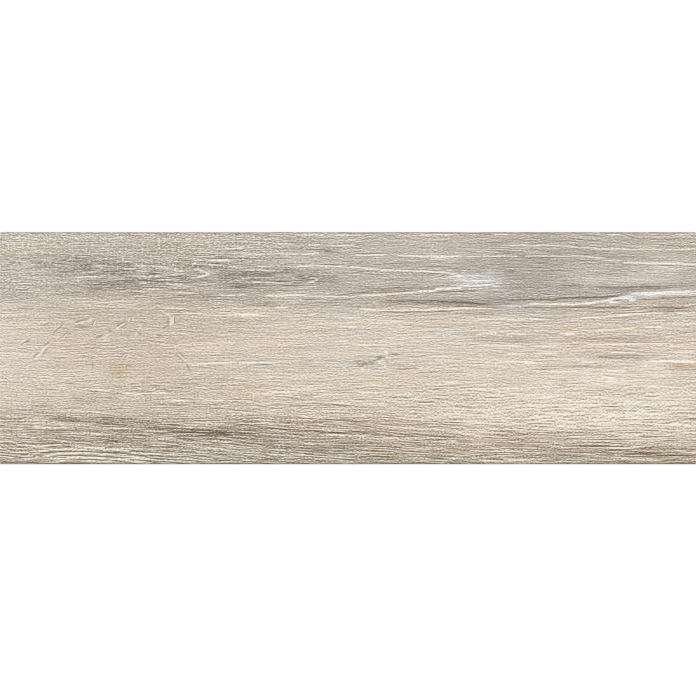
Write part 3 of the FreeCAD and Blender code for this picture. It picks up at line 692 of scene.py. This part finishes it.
def drawStreaks(face):
    # soft streaks that lighten or darken the print
    shade = np.zeros(len(face["x"]))
    for number, (startX, startY, endX, endY, thickness, bow, amount) in enumerate(figure["streaks"]):
        along, line = middleLine(face["x"], startX, startY, endX, endY, bow)
        line += thickness * waver("streakWaver", face["x"], number)
        across = (face["y"] - line) / thickness
        shade += amount / 100 * np.clip(1 - along ** 2, 0, 1) ** 0.7 * np.clip(1 - across ** 2, 0, 1) ** 1.4
    return shade


def pressFace(thing):
    # presses the seams and pores into the face, and leaves what was drawn as attributes for the print
    face = facePoints(thing)
    seams = drawStrokes(face, figure["seams"], relief["seamWidth"])
    pores = drawAtRandom(face, "pores")
    pale = drawStrokes(face, figure["paleLines"], relief["paleWidth"])
    threads = drawAtRandom(face, "threads")
    pale = np.where(np.abs(threads) > np.abs(pale), threads, pale)
    fromEnd = (faceHalf[0] - np.abs(face["x"])) / relief["endFade"]
    fromSide = (faceHalf[1] - np.abs(face["y"])) / relief["sideFade"]
    inside = np.clip(np.minimum(fromEnd, fromSide) - relief["flatRim"], 0, 1)
    where = places(thing)
    where[face["index"], 2] -= relief["depth"] * np.maximum(np.maximum(seams, pores), 0) * inside
    putPlaces(thing, where)

    drawings = {
        "seams": seams, "pores": pores, "pale": pale, "shade": drawStreaks(face), "wash": drawWashes(face)}
    for name, drawn in drawings.items():
        coloured = drawn.ndim == 2
        everywhere = np.full((len(where), *drawn.shape[1:]), 1.0 if coloured else 0.0)
        everywhere[face["index"]] = drawn
        layer = thing.data.attributes.new(name, "FLOAT_VECTOR" if coloured else "FLOAT", "POINT")
        layer.data.foreach_set("vector" if coloured else "value", everywhere.ravel())


tile = closeSlab(makeFaceAndSides(), makeKeyingLattice())
tile.name = "porcelainPlank"
print("slab and keying lattice:", len(tile.data.polygons), "faces")
pressFace(tile)
print("face pressed, figure drawn")

# The sheet that the looks are baked to, one wide and one high: from its foot up the four sides, the back
# and the face
sheetPlan = {
    "margin": 0.004,              # free at the left and right
    "side": (0.006, 0.018),       # foot and height of the lowest side
    "nextSide": 0.024,            # from one side to the next
    "back": (0.104, 0.288),
    "face": (0.404, 0.592),
}

finishNumber = {"face": 0, "side": 1, "back": 2}
backReach = 0.9 * mm              # how far up the back's cells go
rimWidth = 3 * mm                 # the slab's outermost part, without cells


def finishFaces(thing):
    # which faces are printed, fired body or bare back, and where each lies on the sheet
    count = len(thing.data.polygons)
    middle, facing, total = np.empty(count * 3), np.empty(count * 3), np.empty(count, int)
    thing.data.polygons.foreach_get("center", middle)
    thing.data.polygons.foreach_get("normal", facing)
    thing.data.polygons.foreach_get("loop_total", total)
    middle, facing = middle.reshape(-1, 3), facing.reshape(-1, 3)
    kind = np.full(count, finishNumber["side"])
    kind[(middle[:, 2] < backReach) & (facing[:, 2] < -0.6)] = finishNumber["back"]
    kind[(middle[:, 2] > slab["top"] - slab["arris"]) & (facing[:, 2] > 0.3)] = finishNumber["face"]
    # the cells' walls belong to the back, though they are steeper
    inLength = np.abs(middle[:, 0]) < slab["halfLength"] - rimWidth
    inWidth = np.abs(middle[:, 1]) < slab["halfWidth"] - rimWidth
    kind[(middle[:, 2] < backReach) & inLength & inWidth] = finishNumber["back"]
    thing.data.polygons.foreach_set("material_index", kind)

    corners = np.empty(len(thing.data.loops), int)
    thing.data.loops.foreach_get("vertex_index", corners)
    where = places(thing)[corners]
    kind, facing = np.repeat(kind, total), np.repeat(facing, total, axis=0)
    across = (where[:, 0] + slab["halfLength"]) / (2 * slab["halfLength"])
    upward = (where[:, 1] + slab["halfWidth"]) / (2 * slab["halfWidth"])
    endwise = np.abs(facing[:, 0]) > np.abs(facing[:, 1])
    strip = np.where(endwise, np.where(facing[:, 0] > 0, 0, 1), np.where(facing[:, 1] > 0, 2, 3))
    isBack, isSide = kind == finishNumber["back"], kind == finishNumber["side"]
    across[isSide & endwise] = upward[isSide & endwise]
    (faceFoot, faceHeight), (backFoot, backHeight) = sheetPlan["face"], sheetPlan["back"]
    sideFoot, sideHeight = sheetPlan["side"]
    level = faceFoot + faceHeight * upward
    level[isBack] = backFoot + backHeight * upward[isBack]
    height = where[:, 2] / slab["top"]
    level[isSide] = sideFoot + sheetPlan["nextSide"] * strip[isSide] + sideHeight * height[isSide]
    sheet = np.column_stack([sheetPlan["margin"] + (1 - 2 * sheetPlan["margin"]) * across, level])
    layer = thing.data.uv_layers.new(name="OFBake")
    layer.data.foreach_set("uv", sheet.ravel())


finishFaces(tile)
selectOnly(tile)
bpy.ops.object.shade_smooth_by_angle(angle=math.radians(28))


class Wire:
    # a value on its way through a material; an expression on it adds its Math nodes
    def __init__(self, board, socket):
        self.board = board
        self.socket = socket

    def math(self, operation, *others, clamp=False):
        settings = {"operation": operation, "use_clamp": clamp}
        return self.board.add("ShaderNodeMath", settings, dict(enumerate((self, *others))))

    def __add__(self, other):
        return self.math("ADD", other)

    def __mul__(self, other):
        return self.math("MULTIPLY", other)

    def __sub__(self, other):
        return self.math("SUBTRACT", other)

    __radd__, __rmul__ = __add__, __mul__

    def __rsub__(self, other):
        return self.math("MULTIPLY_ADD", -1, other)

    def __abs__(self):
        return self.math("ABSOLUTE")

    def times(self, gain, lift):
        return self.math("MULTIPLY_ADD", gain, lift)

    def rise(self, start, end):
        # 0 before start, 1 after end
        return self.math("MULTIPLY_ADD", 1 / (end - start), -start / (end - start), clamp=True)

    def atLeast(self, least):
        return self.math("MAXIMUM", least)

    def within(self, least, most):
        return self.atLeast(least).math("MINIMUM", most)


class Board:
    # the nodes of one material or of the world
    def __init__(self, owner):
        owner.use_nodes = True
        self.owner = owner
        self.nodes = owner.node_tree.nodes
        self.links = owner.node_tree.links

    def plug(self, socket, value):
        if isinstance(value, Wire):
            self.links.new(value.socket, socket)
        else:
            socket.default_value = value

    def add(self, kind, settings=None, sockets=None, output=0):
        node = self.nodes.new(kind)
        for name, value in (settings or {}).items():
            if name == "stops":
                for place, colour in value[len(node.color_ramp.elements):]:
                    node.color_ramp.elements.new(place)
                for element, (place, colour) in zip(node.color_ramp.elements, value):
                    element.position = place
                    element.color = colour
            else:
                setattr(node, name, value)
        for name, value in (sockets or {}).items():
            self.plug(node.inputs[name], value)
        return Wire(self, node.outputs[output])

    def vector(self, operation, *values):
        return self.add("ShaderNodeVectorMath", {"operation": operation}, dict(enumerate(values)))

    def mix(self, factor, under, over):
        return self.add("ShaderNodeMix", {"data_type": "RGBA"}, {0: factor, 6: under, 7: over}, output=2)

    def dim(self, colour, factor):
        return self.add("ShaderNodeVectorMath", {"operation": "SCALE"}, {0: colour, "Scale": factor})

    def placeInMm(self):
        return self.vector("MULTIPLY", self.add("ShaderNodeTexCoord", output="Object"), (1 / mm,) * 3)

    def axis(self, place, number=0):
        return self.add("ShaderNodeSeparateXYZ", sockets={0: place}, output=number)

    def point(self, x, y):
        return self.add("ShaderNodeCombineXYZ", sockets={0: x, 1: y})

    def noise(self, place, scale=1, detail=0, dimensions="3D"):
        # about 0
        sockets = {"Vector": place, "Scale": scale, "Detail": detail}
        return self.add("ShaderNodeTexNoise", {"noise_dimensions": dimensions}, sockets) - 0.5

    def grainNoise(self, place, wide, tall, seed):
        # features of that many mm along and across the grain; the seed sets off one noise from the others
        offset = (seed * 17.3, seed * 9.1, 0)
        return self.noise(self.vector("MULTIPLY_ADD", place, (1 / wide, 1 / tall, 0), offset), dimensions="2D")

    def dashes(self, x, rows, wide, seed, contrast):
        # fine dashes in rows across the grain, each row set off from the two beside it
        rowStep = 3.71

        def row(step):
            spot = self.point(x * (1 / wide), rows.times(rowStep, seed * 5.3 + step))
            settings, sockets = {"noise_dimensions": "2D"}, {"Vector": spot, "Scale": 1, "Detail": 0}
            return self.add("ShaderNodeTexNoise", settings, sockets)
        return (row(0) - (row(rowStep) + row(-rowStep)) * 0.5) * contrast

    def drawn(self, name, output="Fac"):
        return self.add("ShaderNodeAttribute", {"attribute_name": name}, output=output)

    def finish(self, colour, roughness, height, look):
        # plugs what varies over the surface, and sets how strong the bump is, how high, and the gloss
        strength, distance = look["bump"]
        sockets = {"Strength": strength, "Distance": distance, "Height": height}
        bump = self.add("ShaderNodeBump", sockets=sockets)
        shader = self.nodes["Principled BSDF"]
        for name, value in (("Base Color", colour), ("Roughness", roughness), ("Normal", bump)):
            self.plug(shader.inputs[name], value)
        shader.inputs["Specular IOR Level"].default_value = look["gloss"]
        return self.owner


def newMaterial(name):
    return Board(bpy.data.materials.new(name))


def tone(red, green, blue):
    # a colour as it looks on screen, made linear
    def linear(value):
        value /= 255
        return value / 12.92 if value <= 0.04045 else ((value + 0.055) / 1.055) ** 2.4
    return (linear(red), linear(green), linear(blue), 1)


def screen(red, green, blue):
    # a colour as it looks on screen, from 0 to 1
    return (red / 255, green / 255, blue / 255, 1)


def fleckMask(x, y, rows):
    # lenses at any angle: 1 in the middle of a fleck and 0 outside it
    nearest = None
    for row in rows:
        startX, startY, endX, endY, thickness, bow = (*row, 0)[:6]
        thickness *= flecks["width"]
        middleX, middleY = (startX + endX) / 2, (startY + endY) / 2
        half = math.hypot(endX - startX, endY - startY) / 2
        cosine, sine = (endX - startX) / (2 * half), (endY - startY) / (2 * half)
        along = y.times(sine / half, x.times(cosine / half, -(cosine * middleX + sine * middleY) / half))
        square = along * along
        across = square.times(bow / thickness, (sine * middleX - cosine * middleY - bow) / thickness)
        across = y.times(cosine / thickness, x.times(-sine / thickness, across))
        far = across.times(across, square)
        nearest = far if nearest is None else nearest.math("MINIMUM", far)
    return nearest.math("MULTIPLY_ADD", -1.5, 1.5, clamp=True)


# The print across the plank, from the near long side to the far one: mm from the middle, colour on screen
printTones = [
    (-100, (178, 166, 148)), (-87, (175, 162, 143)), (-71, (178, 163, 143)), (-60, (194, 180, 161)),
    (-52, (206, 193, 175)), (-40, (211, 198, 180)), (-18, (214, 201, 185)), (0, (212, 198, 183)),
    (20, (209, 196, 181)), (33, (202, 190, 175)), (44, (185, 174, 162)), (60, (183, 173, 161)),
    (75, (183, 172, 160)), (100, (189, 178, 164)),
]

# How the grain runs: x along the tile and y across it, in mm from its middle
flow = {
    "sway": 2.4,                  # how far the slow swings of the grain go, and the finer ones
    "fineSway": 0.35,
    "lowerBand": (-30, -76),      # where the brown band begins and where it is full
    "lowerFall": 0.06,            # how steeply the grain falls in it
    "lowerTurn": -60,             # the x at which it is level with the rest
    "lowerSpan": (-240, 170),     # and how far to the left and right of that it falls
    "toneSway": 6,                # how far the tones swing with the grain
    "toneFall": 0.07,             # how steeply they fall in the brown band, from this x on
    "toneTurn": -20,
    # at the lower left corner the grain dips: its span in x and in y, and how far
    "cornerDip": ((-252, -288), (-80, -94), 3),
    # at the right it bends twice: where the bend begins and is full, its middle across and how fast it
    # dies out from there, the x at which it is level, and its slope
    "bends": [(150, 215, 38, 0.036, 170, -0.055), (120, 180, 84, 0.026, 150, 0.04)],
}

# The cathedral of the upper left, whose lines lie at even distances from its axis
cathedral = {
    "axis": (-119, 63.8, -0.057),       # a point of the axis, and its slope
    "tipSteepness": 0.7,          # how blunt its tips are
    "edge": (1.35, 0.075),        # how full it is at the axis, and how fast it dies out from there
    "end": (-12, -45),            # where it ends at the right, and where it is full
    "lines": 2.5,                 # how close its lines are
    "uneven": 8,                  # and how uneven
    "sway": 2,
    "comb": 0.06,                 # their contrast
    "calm": 0.25,                 # how much calmer the other grain is between them
}

# The noises of the print: mm along and across the grain of one feature, and a number of its own
noises = {
    "sway": (85, 24, 1),
    "fineSway": (60, 9, 2),
    "warmth": (60, 5, 3),
    "shells": (40, 2.2, 4),
    "long": (30, 0.9, 6),
    "fibre": (7, 0.75, 7),
    "speck": (1.5, 1.25, 9),
    "broad": (90, 3.4, 10),
    "glint": (2.4, 0.8, 21),
}

grain = {
    "rowHeight": 0.84,            # mm, of the rows of dashes
    "dashes": ((17, 3, 0.38), (4.2, 8, 0.2), (1.5, 14, 0.4)),       # mm of one, a number of its own, contrast
    "lowerDashes": (24, 12, 0.55),      # the longest ones, in the brown band
    "fibre": 0.08,                # contrast of the short uneven fibres
    "long": 0.09,                 # of the long ones
    "speck": 0.28,
    "broad": (0.09, 0.06),        # of the soft wide streaks, and how much more in the brown band
    "glow": 0.35,                 # how bright the pale lines are
    "glint": 0.85,                # and the short pale glints, beside them
    "ink": 0.25,                  # how dark the seams are
    "poreInk": 0.13,
    "paleFlank": 0.22,            # how dark the pale lines' flanks are
    "lightTone": (0.94, 1.0, 1.06),
    "warm": (1.005, 1.0, 0.993, 1),
    "cool": (0.995, 1.0, 1.007, 1),
    "deepest": -0.42,             # how far a line darkens the ground at most
    "brightest": 0.985,
    # how much more contrast in the brown band, and at the left below and above the cream middle
    "lowerContrast": 0.24,
    "leftContrast": ((-18, -36, 0.35), (34, 50, 0.22)),
    "left": (20, -110),
    "ovals": (-232, 44, -82, -90),      # the nested ovals' middle, half length, top and where they are full
    "ovalsCalm": 0.55,            # how much calmer the grain is there
    # the long sides: darker bands along both edges, and over the far side's arris a painted highlight that
    # lightens away its shading: from, to, how much darker
    "arris": ((98.6, 99.3, 0.24), (99.4, 99.9, -0.3), (-96.8, -97.8, 0.11), (-98.6, -99.4, 0.23)),
    "darkest": (0.16, 0.14, 0.11),
    "palest": (0.99, 0.985, 0.97),
    "gamma": 2.2,                 # the print is mixed as it looks on screen and then made linear
    "roughness": 0.5,
    "bump": (0.4, 0.12 * mm),
    "gloss": 0.32,
}


def runOfGrain(board, x, y, sway, fineSway, lower):
    # where each point lies across the grain: it falls to the right in the brown band and bends at the right
    level = y + sway * flow["sway"] + fineSway * flow["fineSway"]
    level = level + (x - flow["lowerTurn"]).within(*flow["lowerSpan"]) * lower * flow["lowerFall"]
    spanX, spanY, dip = flow["cornerDip"]
    level = level + x.rise(*spanX) * y.rise(*spanY) * dip
    for start, full, middle, fade, origin, slope in flow["bends"]:
        level = level + x.rise(start, full) * (1 - abs(y - middle) * fade).atLeast(0) * (x - origin) * slope
    return level


def makePrintedFace():
    board = newMaterial("printedFace")
    place = board.placeInMm()
    x, y = board.axis(place), board.axis(place, 1)
    sway = board.grainNoise(place, *noises["sway"])
    lower = y.rise(*flow["lowerBand"])
    level = runOfGrain(board, x, y, sway, board.grainNoise(place, *noises["fineSway"]), lower)
    grainPlace = board.point(x, level)

    # the print's tones
    toneLevel = y + sway * flow["toneSway"] + (x - flow["toneTurn"]).atLeast(0) * lower * flow["toneFall"]
    stops = [((across + 100) / 200, screen(*colour)) for across, colour in printTones]
    colour = board.add("ShaderNodeValToRGB", {"stops": stops}, {0: toneLevel.times(1 / 200, 0.5)})
    broad = board.grainNoise(grainPlace, *noises["broad"])
    streaky = (broad * 0.8 + 0.92).within(0, 1)
    colour = board.vector("MULTIPLY", colour, board.mix(streaky, (1, 1, 1, 1), board.drawn("wash", "Vector")))
    warmth = board.grainNoise(grainPlace, *noises["warmth"]).times(1.6, 0.5)
    colour = board.vector("MULTIPLY", colour, board.mix(warmth, grain["warm"], grain["cool"]))

    # the cathedral's lines
    axisX, axisY, slope = cathedral["axis"]
    fromAxis = y - (x - axisX) * slope - axisY
    fromLeft = (x + faceHalf[0]) * (1 / cathedral["tipSteepness"])
    shell = fromAxis.times(fromAxis, fromLeft).atLeast(0).math("SQRT")
    uneven = board.grainNoise(board.point(x, shell + sway * cathedral["sway"]), *noises["shells"])
    fullness, fade = cathedral["edge"]
    inCathedral = (fullness - abs(fromAxis) * fade).within(0, 1) * x.rise(*cathedral["end"])
    comb = ((shell + sway * cathedral["sway"]) * cathedral["lines"] + uneven * cathedral["uneven"]).math("SINE")

    # rows of fine dashes, uneven fibres and specks
    long = board.grainNoise(grainPlace, *noises["long"])
    fibre = board.grainNoise(grainPlace, *noises["fibre"])
    speck = board.grainNoise(place, *noises["speck"])
    rows = (level * (1 / grain["rowHeight"])).math("FLOOR")
    texture = board.dashes(x, rows, *grain["lowerDashes"]) * lower + comb * inCathedral * cathedral["comb"]
    for dash in grain["dashes"]:
        texture = texture + board.dashes(x, rows, *dash)
    texture = texture + fibre * grain["fibre"] + long * grain["long"] + speck * grain["speck"]

    # where it is stronger, and where calmer
    (below, fullBelow, moreBelow), (above, fullAbove, moreAbove) = grain["leftContrast"]
    left = y.rise(below, fullBelow) * moreBelow + y.rise(above, fullAbove) * moreAbove
    ovalX, ovalLength, ovalTop, ovalFull = grain["ovals"]
    ovals = (1 - abs(x - ovalX) * (1 / ovalLength)).rise(0, 0.4) * y.rise(ovalTop, ovalFull)
    contrast = lower * grain["lowerContrast"] + 1 + left * x.rise(*grain["left"])
    contrast = contrast - ovals * grain["ovalsCalm"] - inCathedral * cathedral["calm"]
    broadContrast, broadLower = grain["broad"]
    light = texture * contrast + broad * (lower * broadLower + broadContrast)

    # what was drawn: streaks, seams, pores and pale lines
    seams, pores, pale = board.drawn("seams"), board.drawn("pores"), board.drawn("pale")
    light = light + board.drawn("shade") * (long * 3 + 1).within(0.4, 1.7)
    light = light - seams * grain["ink"] - pores * grain["poreInk"]
    light = light + pale.math("MINIMUM", 0) * grain["paleFlank"]
    glint = board.grainNoise(grainPlace, *noises["glint"]).rise(0.17, 0.27) * y.rise(44, 66) * x.rise(40, -110)
    light = light + (pale.atLeast(0) * (speck * 1.6 + 1.05) + glint * grain["glint"]) * grain["glow"]
    # no channel is cut off, so that the finest lines keep the tone of the ground
    light = light.within(grain["deepest"], grain["brightest"] - board.axis(colour))
    colour = board.vector("ADD", colour, board.dim(grain["lightTone"], light))

    # the flecks across the grain
    for kind in ("dark", "pale", "white"):
        strength, fleckColour = flecks[kind + "Look"]
        if kind == "white":
            strength = (speck * 1.6 + strength).within(0, 1)
        colour = board.mix(fleckMask(x, y, flecks[kind]) * strength, colour, screen(*fleckColour))

    # darker bands along the long sides, and a painted highlight on the far side's arris that offsets its
    # shading
    shade = 1
    for start, full, amount in grain["arris"]:
        shade = shade - y.rise(start, full) * amount
    colour = board.dim(colour, shade)
    colour = board.vector("MINIMUM", board.vector("MAXIMUM", colour, grain["darkest"]), grain["palest"])
    colour = board.add("ShaderNodeGamma", sockets={"Color": colour, "Gamma": grain["gamma"]})
    roughness = (seams * 0.15 + texture * -0.2 + grain["roughness"]).within(0.35, 0.8)
    return board.finish(colour, roughness, texture.times(2, 0.5), grain)


# The sides: fired porcelain body with fine dark specks. Noises: features per mm, detail
body = {
    "grains": (1.9, 2),
    "clouds": (0.06, 2),
    "specks": (3.4, 2),
    "tones": ((171, 155, 136), (190, 175, 156)),
    "cloudContrast": 1.6,
    "grainContrast": 0.8,
    "speckColour": (98, 84, 70),
    "speckStrength": 0.6,
    "roughness": (0.3, 0.72),     # how much it varies, and its middle
    "bump": (0.5, 0.15 * mm),
    "gloss": 0.3,
}

# The back: the same body under the thin whitish wash that keeps it from sticking in the kiln
back = {
    "grains": (1.6, 3),
    "clouds": (0.035, 3),
    "tones": ((178, 162, 142), (196, 183, 165)),
    "cloudContrast": 2.4,
    "grainContrast": 0.5,
    "washColour": (221, 214, 203),
    "washStrength": 0.55,
    "washReach": (0.5, 0.05),     # mm above the floor: where the wash ends, and where it is full
    "roughness": (0.25, 0.8),
    "bump": (0.6, 0.2 * mm),
    "gloss": 0.25,
}


def makeFiredBody():
    board = newMaterial("firedBody")
    place = board.placeInMm()
    grains, clouds = board.noise(place, *body["grains"]), board.noise(place, *body["clouds"])
    dark, light = body["tones"]
    colour = board.mix(clouds.times(body["cloudContrast"], 0.5), tone(*dark), tone(*light))
    colour = board.dim(colour, grains.times(body["grainContrast"], 1))
    specks = board.noise(place, *body["specks"]).rise(0.16, 0.22) * body["speckStrength"]
    colour = board.mix(specks, colour, tone(*body["speckColour"]))
    return board.finish(colour, grains.times(*body["roughness"]), grains, body)


def makeBareBack():
    board = newMaterial("bareBack")
    place = board.placeInMm()
    grains, clouds = board.noise(place, *back["grains"]), board.noise(place, *back["clouds"])
    dark, light = back["tones"]
    colour = board.mix(clouds.times(back["cloudContrast"], 0.5), tone(*dark), tone(*light))
    wash = (board.axis(place, 2).rise(*back["washReach"]) + grains * 1.4 + clouds * 1.2).within(0, 1)
    colour = board.mix(wash * back["washStrength"], colour, tone(*back["washColour"]))
    colour = board.dim(colour, grains.times(back["grainContrast"], 1))
    return board.finish(colour, grains.times(*back["roughness"]), grains, back)


for finish in (makePrintedFace(), makeFiredBody(), makeBareBack()):
    tile.data.materials.append(finish)
print("materials made")

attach(tile, "root")
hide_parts("plank_tile")

studio = {
    "floorSize": 8,
    "floorColour": 0.2,           # what the floor gives back of the light, beside its own glow
    "floorGlow": 0.86,
    "worldLight": 0.58,
    "sunLight": 1.42,
    "sunTurn": (math.radians(14), math.radians(-16), 0),
    "sunWidth": math.radians(35),
    "lens": 135,
    "sensor": 36,
    "field": 0.5994,              # metres across the picture, at the face
    "aim": 0.0002,                # how far the picture's middle is from the tile's
    "clipEnd": 20,
}


def showsBackground(board):
    # 1 for what the camera sees, straight or in a reflection
    path = board.add("ShaderNodeLightPath", output="Is Camera Ray")
    outputs = path.socket.node.outputs
    seen = path.math("MAXIMUM", Wire(board, outputs["Is Glossy Ray"]))
    return seen.math("MAXIMUM", Wire(board, outputs["Is Transmission Ray"]))


def makeFloor():
    bpy.ops.object.select_all(action="DESELECT")
    bpy.ops.mesh.primitive_plane_add(size=studio["floorSize"])
    floor = bpy.context.object
    floor.name = "floor"
    board = newMaterial("paleFloor")
    diffuse = board.add("ShaderNodeBsdfDiffuse", sockets={"Color": (studio["floorColour"],) * 3 + (1,)})
    strength = showsBackground(board) * studio["floorGlow"]
    glow = board.add("ShaderNodeEmission", sockets={"Color": (1, 1, 1, 1), "Strength": strength})
    both = board.add("ShaderNodeAddShader", sockets={0: diffuse, 1: glow})
    board.plug(board.nodes["Material Output"].inputs["Surface"], both)
    floor.data.materials.append(board.owner)


def makeLight():
    world = bpy.data.worlds.new("paleRoom")
    bpy.context.scene.world = world
    board = Board(world)
    seen = showsBackground(board)
    background = board.nodes["Background"]
    background.inputs["Color"].default_value = (1, 1, 1, 1)
    board.plug(background.inputs["Strength"], seen.times(1 - studio["worldLight"], studio["worldLight"]))

    sun = bpy.data.objects.new("softKey", bpy.data.lights.new("softKey", "SUN"))
    bpy.context.scene.collection.objects.link(sun)
    sun.data.energy = studio["sunLight"]
    sun.data.angle = studio["sunWidth"]
    sun.rotation_euler = studio["sunTurn"]


def makeCamera():
    camera = bpy.data.objects.new("camera", bpy.data.cameras.new("camera"))
    bpy.context.scene.collection.objects.link(camera)
    camera.data.lens = studio["lens"]
    camera.data.sensor_width = studio["sensor"]
    distance = studio["field"] * studio["lens"] / studio["sensor"]
    camera.location = (0, studio["aim"], slab["top"] + distance)
    camera.data.clip_end = studio["clipEnd"]
    bpy.context.scene.camera = camera


makeFloor()
makeLight()
makeCamera()
bpy.context.scene.view_settings.view_transform = "Standard"
print("stage set")
